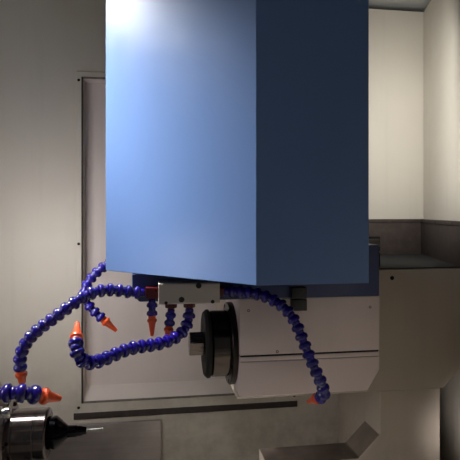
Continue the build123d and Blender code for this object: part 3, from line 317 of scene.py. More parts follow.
def pane(name, colour):
    """Clear safety glass with a faint film of dried coolant."""
    s = Shader(name)
    film = s.spread(s.noise(6, 5, 0.65, s.stretched((3, 3, 0.8))), 0.45, 0.8, 0, 0.5)
    tone = s.mix(film, colour, shade(colour, 0.86))
    rough = s.spread(film, 0, 1, 0.01, 0.10)
    return s.done(tone, rough, Transmission_Weight=1.0, IOR=1.45)


def glowing(name, colour, strength):
    """A lamp's diffuser, with a slightly uneven glow."""
    s = Shader(name)
    patch = s.spread(s.noise(16, 3), 0.3, 0.7)
    tone = s.mix(patch, shade(colour, 0.94), colour)
    s.link(tone, s.bsdf.inputs["Emission Color"])
    s.bump(s.noise(500, 2), 0.06, 0.2 * MM)
    return s.done(tone, 0.45, Emission_Strength=strength)


# Dark tone for faces that look up: partly grinding slurry, partly painted shade on their tops.
SLUDGE_AND_TOP_SHADE = srgb(66, 56, 50)
WALL_BEIGE = srgb(206, 199, 186)
CABIN_GREY = srgb(216, 215, 209)
HEAD_BEIGE = srgb(224, 207, 204)
COVER_BLUE = srgb(98, 126, 176)
# The carrier's blue is darker than the cover's: partly its own darker paint, partly painted shade.
CARRIER_BLUE_AND_SHADE = srgb(50, 62, 104)
STEEL = srgb(196, 194, 190)
IRON = srgb(112, 112, 112)

MATERIALS = {
    "cabin_paint": paint("cabin_paint", CABIN_GREY, 0.42, 0.03, 620, 0.12, 0.04, grime=(0.02, 0.24)),
    "wall_paint": paint("wall_paint", WALL_BEIGE, 0.46, 0.06, 420, 0.10, 0.16, grime=(0.68, 1.05)),
    # The castings' faces that look up are darker: partly grinding slurry, partly painted shade.
    "casting_paint": paint(
        "casting_paint", srgb(188, 176, 162), 0.44, 0.05, 260, 0.22, 0.12, grime=(0.66, 1.0), painted_top_tone_and_sludge=0.92,
    ),
    "head_paint": paint("head_paint", HEAD_BEIGE, 0.38, 0.05, 300, 0.14, 0.10),
    "blue_paint": paint(
        "blue_paint", COVER_BLUE, 0.31, 0.02, 340, 0.06, 0.03, polish=0.02, Specular_IOR_Level=0.4,
    ),
    "dark_blue_paint": paint("dark_blue_paint", CARRIER_BLUE_AND_SHADE, 0.34, 0.06, 320, 0.14, 0.12),
    "cast_iron": cast_metal("cast_iron", IRON, 0.46),
    "steel": ground_metal("steel", STEEL, 0.28, (40, 40, 900)),
    "bright_steel": ground_metal("bright_steel", srgb(118, 109, 108), 0.13, (1400, 30, 30), 0.03, 0.10),
    "black_oxide": ground_metal("black_oxide", srgb(36, 35, 39), 0.10, (900, 60, 60), 0.05, 0.2),
    "dark_steel": ground_metal("dark_steel", srgb(98, 94, 90), 0.30, (1200, 40, 40), 0.16, 0.25),
    "manifold_grey": paint("manifold_grey", srgb(190, 180, 172), 0.36, 0.05, 500, 0.16, 0.08, Metallic=0.35),
    "hose_blue": plastic(
        "hose_blue", srgb(25, 10, 124), 0.18, Specular_IOR_Level=0.4, Coat_Weight=0.6, Coat_Roughness=0.04,
    ),
    "nozzle_orange": plastic("nozzle_orange", srgb(238, 92, 44), 0.32, Coat_Weight=0.2),
    "fitting_red": plastic("fitting_red", srgb(78, 10, 18), 0.32),
    "window_glass": pane("window_glass", srgb(226, 236, 234)),
    "screen_black": plastic("screen_black", srgb(18, 20, 24), 0.10, 0.3, 400),
    "panel_grey": plastic("panel_grey", srgb(92, 95, 99), 0.48, 0.05, 1100),
    "button_red": plastic("button_red", srgb(206, 32, 26), 0.26, Coat_Weight=0.4),
    "lamp_white": glowing("lamp_white", srgb(250, 248, 240), 0.9),
    "foot_steel": cast_metal("foot_steel", srgb(96, 97, 99), 0.50),
    "abrasive": bonded_grit("abrasive", srgb(12, 11, 12), srgb(30, 28, 28)),
}
PLATE_STEEL = ground_metal("plate_steel", srgb(206, 198, 198), 0.46, (3, 30, 60), 0.42, 0.5)
# The recess pan's paint: its faces that look up are painted lighter, which is painted light on the sill.
PAN_PAINT = paint(
    "pan_paint", srgb(222, 211, 206), 0.46, 0.06, 420, 0.10, 0.16, painted_top_tone_and_sludge=1.0, painted_top_colour=srgb(238, 230, 222),
)
BLACK_RUBBER = rubber("black_rubber", srgb(26, 26, 27))
BLACK_PLASTIC = plastic("black_plastic", srgb(22, 22, 24), 0.35)
APRON_BROWN = rubber("apron_brown", srgb(64, 54, 49))
# Dark rubbers for the recess: painted shade along the trim's foot and the pan's inner edges.
SILL_SHADE_GREY = rubber("sill_shade_grey", srgb(116, 108, 103))
PAINTED_SHADE_BROWN = rubber("painted_shade_brown", srgb(58, 50, 46))
SEAM_BLACK = rubber("seam_black", srgb(14, 13, 13))
SCREW_BLACK = ground_metal("screw_black", srgb(46, 44, 44), 0.38, (300, 300, 300), 0.1, 0.3)
NOSE_STEEL = ground_metal("nose_steel", srgb(58, 52, 51), 0.30, (1500, 30, 30), 0.03, 0.12)
NUT_STEEL = ground_metal("nut_steel", srgb(120, 110, 106), 0.24, (60, 60, 1500), 0.05, 0.10)
CHROME = ground_metal("chrome", srgb(214, 212, 210), 0.10, (900, 60, 60), 0.03, 0.05)
HUB_STEEL = ground_metal("hub_steel", srgb(92, 84, 80), 0.16, (1500, 30, 30), 0.03, 0.12)
SCREW_ZINC = ground_metal("screw_zinc", srgb(176, 172, 160), 0.32, (400, 400, 400), 0.1, 0.3)


# Mesh building blocks


def piece(name, bm, body, slot, material=None, replaces=(), angle=32):
    """A finished object from a mesh under construction, riding on its body."""
    bmesh.ops.recalc_face_normals(bm, faces=bm.faces)
    mesh = bpy.data.meshes.new(name)
    bm.to_mesh(mesh)
    bm.free()
    mesh.shade_smooth()
    mesh.set_sharp_from_angle(angle=math.radians(angle))
    mesh.materials.append(material or MATERIALS[slot])
    obj = bpy.data.objects.new(name, mesh)
    bpy.context.scene.collection.objects.link(obj)
    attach(obj, body)
    if replaces:
        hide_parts(*replaces)
    return obj


def body_of(node):
    return NODES[node]["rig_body"]


def softened(node, width, segments=2, material=None):
    """A CAD node's own shape with its sharp edges rounded, which stands for that node.
    Weighted normals keep its large faces flat beside the rounded edges."""
    bm = bmesh.new()
    bm.from_mesh(NODES[node].data)
    bmesh.ops.remove_doubles(bm, verts=bm.verts, dist=0.001 * MM)
    bmesh.ops.dissolve_limit(bm, angle_limit=math.radians(1), verts=bm.verts, edges=bm.edges)
    sharp = [
        e for e in bm.edges
        if len(e.link_faces) == 2 and e.calc_face_angle(0) > math.radians(SHARP_ANGLE)
    ]
    bmesh.ops.bevel(bm, geom=sharp, offset=width * MM, segments=segments, profile=0.5, affect="EDGES")
    obj = piece(node + "_finish", bm, body_of(node), SLOTS[node], material, [node], 40)
    flat = obj.modifiers.new("weighted_normals", "WEIGHTED_NORMAL")
    flat.keep_sharp = True


def turned(bm, start, way, profile, sides):
    """Adds a turned form: rings at (distance, radius) along way; a radius of 0 closes it."""
    axis = Vector(way).normalized()
    across = axis.orthogonal().normalized()
    other = axis.cross(across)
    rings = []
    for distance, radius in profile:
        centre = Vector(start) + axis * distance
        if radius == 0:
            rings.append([bm.verts.new(centre)])
            continue
        turns = [2 * math.pi * i / sides for i in range(sides)]
        rings.append(
            [bm.verts.new(centre + (across * math.cos(a) + other * math.sin(a)) * radius) for a in turns]
        )
    for near, far in zip(rings, rings[1:]):
        for i in range(sides):
            corners = [near[i - 1], near[i]] if len(near) > 1 else [near[0]]
            corners += [far[i], far[i - 1]] if len(far) > 1 else [far[0]]
            if len(corners) > 2:
                bm.faces.new(corners)


def scaled(profile):
    """A profile written in millimetres, in metres."""
    return [(d * MM, r * MM) for d, r in profile]


def rounded_box(bm, low, high, radius, segments=2):
    """Adds a box between two corners with its edges rounded."""
    low, high = Vector(low), Vector(high)
    size = high - low
    place = Matrix.Translation((low + high) / 2) @ Matrix.Diagonal((*size, 1))
    made = bmesh.ops.create_cube(bm, size=1, matrix=place)["verts"]
    edges = {e for v in made for e in v.link_edges}
    bmesh.ops.bevel(bm, geom=list(edges), offset=radius, segments=segments, profile=0.5, affect="EDGES")


def cap_screw(bm, place, way, radius, h):
    """Adds a socket-head screw seen from outside: cylinder of height h, chamfer, socket."""
    turned(
        bm, place, way,
        [(0, radius), (h * 0.8, radius), (h, radius * 0.86), (h, radius * 0.52), (h * 0.35, radius * 0.48),
         (h * 0.35, 0)],
        20,
    )


def button_screw(bm, place, way, radius):
    """Adds a low domed screw head with a small socket."""
    h = radius * 0.55
    turned(
        bm, place, way,
        [(0, radius), (h * 0.25, radius), (h * 0.7, radius * 0.82), (h * 0.95, radius * 0.55),
         (h, radius * 0.42), (h * 0.4, radius * 0.38), (h * 0.4, 0)],
        18,
    )


def hexagon(bm, start, way, across, length, bevel):
    """Adds a hexagonal prism with its end corners turned off."""
    radius = across / math.sqrt(3)
    turned(
        bm, start, way,
        [(0, 0), (0, radius - bevel), (bevel * 0.6, radius), (length - bevel * 0.6, radius),
         (length, radius - bevel), (length, 0)],
        6,
    )


def islands(node):
    """The corner points of each separate solid in a CAD node, as arrays."""
    bm = bmesh.new()
    bm.from_mesh(NODES[node].data)
    bmesh.ops.remove_doubles(bm, verts=bm.verts, dist=0.001 * MM)
    seen, groups = set(), []
    for start in bm.verts:
        if start in seen:
            continue
        stack, group = [start], []
        seen.add(start)
        while stack:
            vert = stack.pop()
            group.append(vert.co.copy())
            for edge in vert.link_edges:
                other = edge.other_vert(vert)
                if other not in seen:
                    seen.add(other)
                    stack.append(other)
        groups.append(numpy.array(group))
    bm.free()
    return groups


def axis_of(points, wide_end_far):
    """The start, way, length and greatest radius of a turned solid, from its corner points.
    wide_end_far says whether the end away from the start is the wider one."""
    centre = points.mean(0)
    values, ways = numpy.linalg.eigh(numpy.cov((points - centre).T))
    lone = 0 if values[1] - values[0] > values[2] - values[1] else 2
    way = ways[:, lone]
    along = (points - centre) @ way
    radii = numpy.linalg.norm(points - centre - numpy.outer(along, way), axis=1)
    middle = (along.min() + along.max()) / 2
    far_is_wide = radii[along > middle].mean() > radii[along <= middle].mean()
    if far_is_wide != wide_end_far:
        way, along = -way, -along
    start = centre + way * along.min()
    return Vector(start), Vector(way), along.max() - along.min(), radii.max()


# Cabin and doors


def cabin():
    for node in ("side_panels", "rear_panel", "roof_panel", "front_frame", "base_skirts"):
        softened(node, 0.9)
    bm = bmesh.new()
    low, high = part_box("front_frame")
    inset, spaces = CABIN_INSET, ROW_COUNT - 1
    for x in (low.x + inset, high.x - inset):
        for i in range(ROW_COUNT):
            z = low.z + inset + i * (high.z - low.z - 2 * inset) / spaces
            button_screw(bm, (x, low.y, z), (0, -1, 0), CABIN_SCREW)
    skirt_low, skirt_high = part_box("base_skirts")
    count = round((skirt_high.x - skirt_low.x) / SKIRT_PITCH)
    for i in range(count + 1):
        x = skirt_low.x + inset + i * (skirt_high.x - skirt_low.x - 2 * inset) / count
        for z in (skirt_low.z + inset, skirt_high.z - inset):
            button_screw(bm, (x, skirt_low.y, z), (0, -1, 0), CABIN_SCREW)
            button_screw(bm, (x, skirt_high.y, z), (0, 1, 0), CABIN_SCREW)
    for side in (-1, 1):
        x = low.x if side < 0 else high.x
        for i in range(ROW_COUNT):
            y = skirt_low.y + SIDE_MARGIN + i * (skirt_high.y - skirt_low.y - 2 * SIDE_MARGIN) / spaces
            for z in (skirt_low.z + inset, skirt_high.z - inset, low.z + inset, high.z - inset):
                button_screw(bm, (x, y, z), (side, 0, 0), CABIN_SCREW)
    piece("cabin_screws", bm, "machine", "steel", SCREW_ZINC)


def door(side):
    leaf, window = side + "_door_leaf", side + "_door_window"
    softened(leaf, 1.0)
    NODES[window].data.materials.clear()
    NODES[window].data.materials.append(MATERIALS["window_glass"])
    low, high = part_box(window)
    bm = bmesh.new()
    wide, proud = 9 * MM, 2.5 * MM
    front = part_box(leaf)[0].y + SEAL_DEPTH
    y0, y1 = front - proud, front + 0.2 * MM
    for x0, x1, z0, z1 in (
        (low.x, high.x, low.z, low.z + wide),
        (low.x, high.x, high.z - wide, high.z),
        (low.x, low.x + wide, low.z + wide, high.z - wide),
        (high.x - wide, high.x, low.z + wide, high.z - wide),
    ):
        rounded_box(bm, (x0, y0, z0), (x1, y1, z1), 1.0 * MM)
    piece(side + "_window_seal", bm, side + "_door", "panel_grey", BLACK_RUBBER)


# Chamber walls


def chamber():
    for node, width in (("rear_wall", 0.6), ("slanted_wall", 0.6), ("recess_trim", 0.7)):
        softened(node, width)
    softened("recess_pan", 0.6, material=PAN_PAINT)
    softened("chip_tray", 0.8)
    softened("splash_plate", 0.8, material=PLATE_STEEL)
    softened("door_tracks", 0.8)
    softened("slide_rails", 0.8)
    low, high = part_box("recess_trim")
    bm = bmesh.new()
    rows, inset = 3, 6.5 * MM
    for i in range(rows):
        z = low.z + 14 * MM + i * (high.z - low.z - 36 * MM) / (rows - 1)
        for x in (low.x + inset, high.x - inset):
            button_screw(bm, (x, low.y, z), (0, -1, 0), 3.6 * MM)
    piece("trim_screws", bm, "machine", "steel", SCREW_BLACK)
    # A dark brown strip under the trim: painted shade for the shadow below the trim's lower edge.
    bm = bmesh.new()
    rounded_box(
        bm, (low.x - 6 * MM, low.y - 1 * MM, low.z - 16 * MM), (high.x + 2 * MM, high.y, low.z), 1.5 * MM,
    )
    piece("trim_foot_shade_strip", bm, "machine", "panel_grey", PAINTED_SHADE_BROWN)
    # Dark beads along the pan's inner edges, brown at the sides and grey at sill and top: painted shade along
    # the recess's inner edges.
    inner, bead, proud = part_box("recess_pan"), 4.5 * MM, 1.2 * MM
    x0, x1, z0, z1 = inner[0].x, inner[1].x, inner[0].z, inner[1].z
    upright = ((x0, x0 + bead, z0, z1), (x1 - bead, x1, z0, z1))
    level = ((x0 + bead, x1 - bead, z0, z0 + bead), (x0 + bead, x1 - bead, z1 - bead, z1))
    for name, runs, finish in (
        ("recess_edge_shade_bead", upright, PAINTED_SHADE_BROWN), ("recess_sill_shade_bead", level, SILL_SHADE_GREY),
    ):
        bm = bmesh.new()
        for left, right, foot, top in runs:
            rounded_box(bm, (left, low.y - proud, foot), (right, inner[0].y + 1 * MM, top), 1.0 * MM)
        piece(name, bm, "machine", "panel_grey", finish)


def apron_sheet(bm, start, along, away, length, low, high):
    """Adds a sheet standing on a wall: a folded upper edge with a row of button screws."""
    first = len(bm.verts)
    rounded_box(bm, (0, 0, low), (length, APRON_THICKNESS, high), 0.8 * MM)
    rounded_box(bm, (0, 2 * MM, high - APRON_FOLD_HEIGHT), (length, APRON_FOLD_DEPTH, high), 0.8 * MM)
    for i in range(APRON_SCREWS):
        place = ((0.04 + i * 0.23) * length, APRON_FOLD_DEPTH, high - APRON_FOLD_HEIGHT / 2)
        button_screw(bm, place, (0, 1, 0), 2.6 * MM)
    turn = Matrix((
        (along[0], away[0], 0, start[0]), (along[1], away[1], 0, start[1]), (0, 0, 1, 0), (0, 0, 0, 1),
    ))
    bm.verts.ensure_lookup_table()
    bmesh.ops.transform(bm, matrix=turn, verts=bm.verts[first:])


def splash_apron():
    """Dark rubber-faced sheets on the rear and slanted walls, just above the bridge."""
    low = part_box("bridge_housing")[1].z + 1.5 * MM
    high = low + APRON_HEIGHT
    rear_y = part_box("rear_wall")[0].y - 0.1 * MM
    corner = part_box("slanted_wall")[1].x - 7 * MM
    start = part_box("mast")[1].x + 4 * MM
    bm = bmesh.new()
    apron_sheet(bm, (start, rear_y), (1, 0), (0, -1), corner - start, low, high)
    slant = Vector((math.sin(WALL_SLANT), math.cos(WALL_SLANT)))
    away = Vector((-slant.y, slant.x))
    end = Vector((corner, rear_y)) - slant * 4 * MM + away * 0.2 * MM
    apron_sheet(bm, end - slant * APRON_LENGTH, slant, away, APRON_LENGTH, low, high)
    piece("wall_splash_apron", bm, "machine", "panel_grey", APRON_BROWN)


def bridge_dressing():
    """The black mat on the bridge's top and the black sheet at the mast's right side, both painted shade, the
    strips beside the mast, and one screw.
    """
    low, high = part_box("bridge_housing")
    rear_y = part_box("rear_wall")[0].y - 0.1 * MM
    side, face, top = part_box("mast")[1].x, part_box("mast")[0].y, high.z
    bm = bmesh.new()
    # A black rubber mat on the bridge's top: painted shade, darkening a top that lies in shade.
    rounded_box(
        bm, (side + 6 * MM, low.y + 5 * MM, top - 0.5 * MM), (high.x - 6 * MM, rear_y - 8 * MM, top + 3 * MM),
        1.2 * MM,
    )
    piece("bridge_top_shade_mat", bm, "machine", "panel_grey", BLACK_RUBBER)
    bm = bmesh.new()
    # A black rubber sheet at the mast's right side: painted shade in the deep shade beside the mast.
    rounded_box(
        bm, (side - 1 * MM, face + 3 * MM, top + 2 * MM),
        (side + SHADE_SHEET_WIDTH, face + 6 * MM, top + SHADE_SHEET_HEIGHT), 1.0 * MM,
    )
    piece("mast_side_shade_sheet", bm, "machine", "panel_grey", BLACK_RUBBER)
    bm = bmesh.new()
    for heights in STRIP_ROWS:
        corners = [
            bm.verts.new((side + x * MM, y, top + z * MM))
            for x, ends in zip(STRIP_ENDS, heights) for z in ends
            for y in (face + 0.8 * MM, face + 3.2 * MM)
        ]
        bmesh.ops.convex_hull(bm, input=corners)
    rims = [e for e in bm.edges if len(e.link_faces) == 2 and e.calc_face_angle(0) > 0.5]
    bmesh.ops.bevel(bm, geom=rims, offset=0.5 * MM, segments=2, profile=0.5, affect="EDGES")
    piece("mast_side_strips", bm, "machine", "steel", SCREW_ZINC)
    bm = bmesh.new()
    button_screw(bm, (BRIDGE_SCREW_X, low.y, top - BRIDGE_SCREW_DROP), (0, -1, 0), 4.4 * MM)
    piece("bridge_screw", bm, "machine", "steel", SCREW_BLACK)


# Castings and slides


def castings():
    for node, width, segments in (
        ("bed_casting", 4, 2), ("column_foot", 2.5, 3), ("bridge_housing", 2.5, 3), ("mast", 3, 3),
        ("cross_saddle", 0.8, 2), ("lift_rails", 0.8, 2), ("ram", 0.8, 2), ("work_table", 1.5, 2),
    ):
        softened(node, width, segments)


# Wheel head


def prism(bm, outline, y0, y1, bevel):
    """Adds a profile drawn in X and Z, pushed from y0 to y1, with its edges rounded."""
    near = [bm.verts.new((x, y0, z)) for x, z in outline]
    far = [bm.verts.new((x, y1, z)) for x, z in outline]
    faces = [bm.faces.new(near), bm.faces.new(far)]
    for i in range(len(outline)):
        faces.append(bm.faces.new((near[i - 1], near[i], far[i], far[i - 1])))
    edges = {e for f in faces for e in f.edges}
    bmesh.ops.bevel(bm, geom=list(edges), offset=bevel, segments=3, profile=0.5, affect="EDGES")


def wheel_head():
    softened("head_carrier", 2.0, 3)
    softened("blue_cover", 0.8, 2)
    low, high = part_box("head_lower")
    seam, top = high.z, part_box("head_carrier")[0].z
    bm = bmesh.new()
    rounded_box(bm, (low.x, low.y, seam + 1.3 * MM), (high.x, high.y, top - 0.2 * MM), 1.2 * MM, 3)
    piece("head_upper_cast", bm, "wheel_head", "head_paint", replaces=["head_upper"])
    bm = bmesh.new()
    outline = [
        (low.x, low.z), (high.x - HEAD_CUT_X, low.z), (high.x, low.z + HEAD_CUT_Z),
        (high.x, seam - SEAM_STEP), (low.x, seam - SEAM_STEP),
    ]
    prism(bm, outline, low.y, high.y, 1.4 * MM)
    piece("head_lower_cast", bm, "wheel_head", "head_paint", replaces=["head_lower"])
    bm = bmesh.new()
    band = 0.4 * MM
    rounded_box(
        bm, (low.x + band, low.y + band, seam - SEAM_STEP + 0.9 * MM),
        (high.x - band, high.y - band, seam - 1.9 * MM), 0.5 * MM,
    )
    piece("head_seam_band", bm, "wheel_head", "head_paint")
    bm = bmesh.new()
    inset = 1.6 * MM
    rounded_box(
        bm, (low.x + inset, low.y + inset, seam - SEAM_STEP - MM),
        (high.x - inset, high.y - inset, seam + 2 * MM), 0.3 * MM,
    )
    piece("head_seam_gasket", bm, "wheel_head", "panel_grey", SEAM_BLACK)
    bm = bmesh.new()
    for x, z in ((0.26, 0.06), (0.93, 0.80), (0.06, 0.80)):
        place = (low.x + x * (high.x - low.x), low.y, seam + z * (top - seam))
        turned(bm, place, (0, -1, 0), scaled([(0, 2.4), (0.3, 2.3), (0.3, 1.5), (-0.2, 1.2), (-0.2, 0)]), 16)
    piece("head_screw_heads", bm, "wheel_head", "head_paint", SCREW_BLACK)

    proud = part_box("head_upper")[0].y
    left, right, foot = SWITCH_LEFT, SWITCH_RIGHT, top - SWITCH_DROP
    bm = bmesh.new()
    rounded_box(bm, (left, proud, foot), (right, low.y + 0.5 * MM, top - 0.5 * MM), 1.2 * MM, 3)
    rounded_box(bm, (left, proud, top + 0.5 * MM), (right, low.y - 0.2 * MM, top + SWITCH_RISE), 1.2 * MM, 3)
    for x, z in ((left + 5 * MM, foot + 5 * MM), (right - 5 * MM, top + SWITCH_RISE - 5 * MM)):
        cap_screw(bm, (x, proud, z), (0, -1, 0), 2.4 * MM, 0.6 * MM)
    piece("head_switch_block", bm, "wheel_head", "black_oxide", BLACK_PLASTIC)


def spindle():
    low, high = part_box("spindle_nose")
    centre_y, centre_z = (low.y + high.y) / 2, (low.z + high.z) / 2
    to_left = (-1, 0, 0)
    face = high.x
    bm = bmesh.new()
    turned(bm, (face, centre_y, centre_z), to_left, scaled([
        (0, 26), (0, 72.4), (8.6, 72.4), (10, 71), (10, 63), (9.2, 62.4), (9.2, 60.5), (10, 60), (10, 26),
        (0, 26),
    ]), 96)
    piece("spindle_nose_ring", bm, "wheel_head", "dark_steel", NOSE_STEEL, ["spindle_nose"])
    bm = bmesh.new()
    for i in range(NOSE_SCREWS):
        a, r = 2 * math.pi * (i + 0.5) / NOSE_SCREWS, NOSE_SCREW_CIRCLE
        place = (low.x, centre_y + r * math.cos(a), centre_z + r * math.sin(a))
        cap_screw(bm, place, to_left, 3.4 * MM, 1.2 * MM)
    piece("nose_screws", bm, "wheel_head", "black_oxide", SCREW_BLACK)

    hub_low, hub_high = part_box("wheel_hub")
    start = hub_high.x
    back = (start - low.x) / MM
    left = (start - (hub_low.x + 10.5 * MM)) / MM
    end = (start - hub_low.x) / MM
    bm = bmesh.new()
    turned(bm, (start, centre_y, centre_z), to_left, scaled([
        (0, 0), (0, 24), (back + 0.4, 24), (back + 0.4, 56.6), (back + 1.6, 57.9), (left - 3.4, 57.9),
        (left - 2.6, 57.1), (left - 1.4, 53), (left, 51.5), (left, 12.6), (end, 12.6), (end, 0),
    ]), 96)
    piece("wheel_hub_turned", bm, "wheel_spindle", "dark_steel", HUB_STEEL, ["wheel_hub"])

    bm = bmesh.new()
    turned(bm, (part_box("grinding_wheel")[1].x, centre_y, centre_z), to_left, scaled([
        (0, 12.8), (0, 51), (0, 59.2), (0.8, 59.9), (5, 59.9), (9.9, 55.2), (9.9, 34), (8.6, 32.5),
        (8.6, 12.8), (0, 12.8),
    ]), 96)
    piece("grinding_wheel_body", bm, "wheel_spindle", "abrasive", replaces=["grinding_wheel"])

    nut_low, nut_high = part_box("wheel_nut")
    bm = bmesh.new()
    hexagon(bm, (nut_high.x, centre_y, centre_z), to_left, 40 * MM, nut_high.x - nut_low.x, 1.5 * MM)
    piece("wheel_nut_machined", bm, "wheel_spindle", "black_oxide", NUT_STEEL, ["wheel_nut"], angle=20)
    bm = bmesh.new()
    turned(bm, (nut_low.x + 9 * MM, centre_y, centre_z), to_left, scaled([
        (0, 0), (0, 8), (8.8, 8), (9, 7.4), (9, 3), (6, 2.4), (6, 0),
    ]), 32)
    piece("wheel_arbor_end", bm, "wheel_spindle", "dark_steel")


# Coolant manifold, fittings, hoses and nozzles

# Half profiles as (distance, radius) in millimetres. Each is scaled to its solid by the radius given
# here, in metres, and a link is also stretched from the length given here, in millimetres.
LINK_RADIUS, LINK_LENGTH = 10.5 * MM, 16.4
LINK_PROFILE = [
    (0.2, 3.8), (0.2, 4.7), (0.6, 5.5), (1.6, 6.3), (3.0, 6.85), (4.4, 6.9), (5.8, 6.5), (6.6, 6.5),
    (7.8, 7.6), (9.2, 9.3), (10.6, 10.0), (12.2, 10.35), (13.8, 10.3), (15.2, 9.9), (16.0, 9.3), (16.35, 8.4),
    (16.3, 7.5), (15.4, 7.1), (13.0, 6.6), (12.9, 4.0), (12.9, 0),
]
NOZZLE_RADIUS = 9.0 * MM
NOZZLE_PROFILE = [
    (0.2, 0), (0.2, 4.6), (1.4, 6.3), (3.4, 7.0), (5.4, 6.8), (6.8, 6.4), (7.6, 7.6), (8.6, 8.7), (12.0, 8.9),
    (13.2, 8.4), (13.8, 7.2), (15.2, 6.6),
]
NOZZLE_TIP_RADIUS, NOZZLE_BORE = 3.1, 2.1
NOZZLE_RIBS = 12


def hose(node, body, piece_name):
    """Smooth moulded links, one on each of the node's solids."""
    bm = bmesh.new()
    for points in islands(node):
        start, way, length, radius = axis_of(points, True)
        k = radius / LINK_RADIUS * MM
        stretch = length / (LINK_LENGTH * k)
        turned(bm, start, way, [(d * k * stretch, r * k) for d, r in LINK_PROFILE], 28)
    piece(piece_name, bm, body, "hose_blue", replaces=[node], angle=50)


def nozzles(node, body, piece_name):
    """Orange nozzles: a gripping collar, a long taper and a bored tip, one on each solid."""
    bm = bmesh.new()
    for points in islands(node):
        start, way, length, radius = axis_of(points, False)
        k = radius / NOZZLE_RADIUS * MM
        end = length / k
        tip = [
            (end - 1.2, NOZZLE_TIP_RADIUS + 0.1), (end - 0.2, NOZZLE_TIP_RADIUS),
            (end, NOZZLE_TIP_RADIUS - 0.4), (end, NOZZLE_BORE), (end - 6, NOZZLE_BORE), (end - 6, 0),
        ]
        turned(bm, start, way, [(d * k, r * k) for d, r in NOZZLE_PROFILE + tip], 32)
        axis = way.normalized()
        across = axis.orthogonal().normalized()
        for i in range(NOZZLE_RIBS):
            turn = Matrix.Rotation(2 * math.pi * i / NOZZLE_RIBS, 3, axis)
            rib = start + axis * 10.3 * k + (turn @ across) * 8.5 * k
            rib_profile = [(0, 0), (0.3 * k, 0.7 * k), (2.9 * k, 0.7 * k), (3.2 * k, 0)]
            turned(bm, rib - axis * 1.6 * k, axis, rib_profile, 6)
    piece(piece_name, bm, body, "nozzle_orange", replaces=[node], angle=40)


def coolant():
    softened("coolant_manifold", 0.8, 2)
    low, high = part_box("coolant_manifold")
    front = low.y
    bm = bmesh.new()
    # Black discs on the manifold's front stand for its bore holes: painted shade for the dark inside of the
    # holes.
    for x, z, radius in ((0.65, 0.86, 4.6), (0.37, 0.22, 4.6), (0.88, 0.09, 3.0), (0.12, 0.09, 2.6)):
        place = (low.x + x * (high.x - low.x), front, low.z + z * (high.z - low.z))
        turned(bm, place, (0, -1, 0), scaled([
            (0, radius), (0.4, radius * 0.97), (0.4, radius * 0.8), (0.1, radius * 0.72), (0.1, 0),
        ]), 24)
    piece("manifold_bore_shade_discs", bm, "wheel_head", "black_oxide", SEAM_BLACK)
    softened("coolant_fittings", 0.7, 2)
    for name in ("left", "lower", "right"):
        hose(name + "_hose", name + "_coolant_hose", name + "_hose_links")
        nozzles(name + "_nozzle", name + "_coolant_hose", name + "_hose_nozzle")
    hose("work_hose", "work_coolant_hose", "work_hose_links")
    nozzles("work_nozzle", "work_coolant_hose", "work_hose_nozzle")
    hose("rear_hose", "wheel_head", "rear_hose_links")
    hose("short_hoses", "wheel_head", "short_hose_links")
    nozzles("head_nozzles", "wheel_head", "head_hose_nozzles")


# Work head


def work_head():
    softened("swivel_base", 2.0, 2)
    softened("work_housing", 1.5, 2)
    low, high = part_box("work_chuck")
    y, z = (low.y + high.y) / 2, (low.z + high.z) / 2
    to_right = (1, 0, 0)
    bm = bmesh.new()
    length = (high.x - low.x) / MM
    turned(bm, (low.x, y, z), to_right, scaled([
        (0, 0), (0, 58.6), (1.4, 60), (12, 60), (12.8, 59.2), (13.6, 59.2), (14.4, 60), (28.2, 60),
        (29.8, 58.4), (29.95, 43), (30.5, 42), (37, 42), (37.6, 41.2), (39.0, 41.2), (39.6, 42),
        (70, 42), (70.6, 41.4), (73, 41.4), (73.6, 42), (length - 3, 42), (length - 0.6, 40.2),
        (length, 39), (length, 0),
    ]), 96)
    piece("work_chuck_turned", bm, "work_spindle", "bright_steel", replaces=["work_chuck"])
    bm = bmesh.new()
    for i in range(CHUCK_SCREWS):
        a, r = 2 * math.pi * i / CHUCK_SCREWS, CHUCK_SCREW_CIRCLE
        place = (low.x + 29.9 * MM, y + r * math.cos(a), z + r * math.sin(a))
        cap_screw(bm, place, to_right, 4 * MM, 2.5 * MM)
    piece("chuck_screws", bm, "work_spindle", "black_oxide", SCREW_BLACK)

    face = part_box("work_housing")[1].x
    bm = bmesh.new()
    place = (face - 0.5 * MM, FITTING_Y, FITTING_Z)
    hexagon(bm, place, to_right, 16 * MM, 5 * MM, 0.6 * MM)
    turned(bm, place, to_right, scaled([
        (0, 0), (0, 6), (6, 6), (7, 5), (9, 5), (10, 7.4), (15, 7.4), (17, 5.4), (17.6, 0),
    ]), 32)
    piece("work_head_fitting", bm, "work_head", "bright_steel", CHROME)

    nut_low, nut_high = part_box("collet_nut")
    length = (nut_high.x - nut_low.x) / MM
    bm = bmesh.new()
    turned(bm, (nut_low.x, y, z), to_right, scaled([
        (0, 0), (0, 26.6), (1, 27.5), (4.2, 27.5), (4.8, 26.6), (6.4, 26.6), (7, 27.5), (11.2, 27.5),
        (12.6, 26.4), (21, 19.5), (22, 17.6), (26, 14.6), (30.2, 11), (31, 10.2), (45, 9.6),
        (46.2, 8.8), (54, 8.2), (56, 7.0), (length - 1, 6.2), (length, 5.4), (length, 3.1),
        (length - 4, 3.1), (length - 4, 0),
    ]), 72)
    piece("collet_nut_turned", bm, "work_spindle", "black_oxide", replaces=["collet_nut"])

    softened("tool_blank", 0.25, 1)


# Electrical cabinet, operator panel, lamp and feet


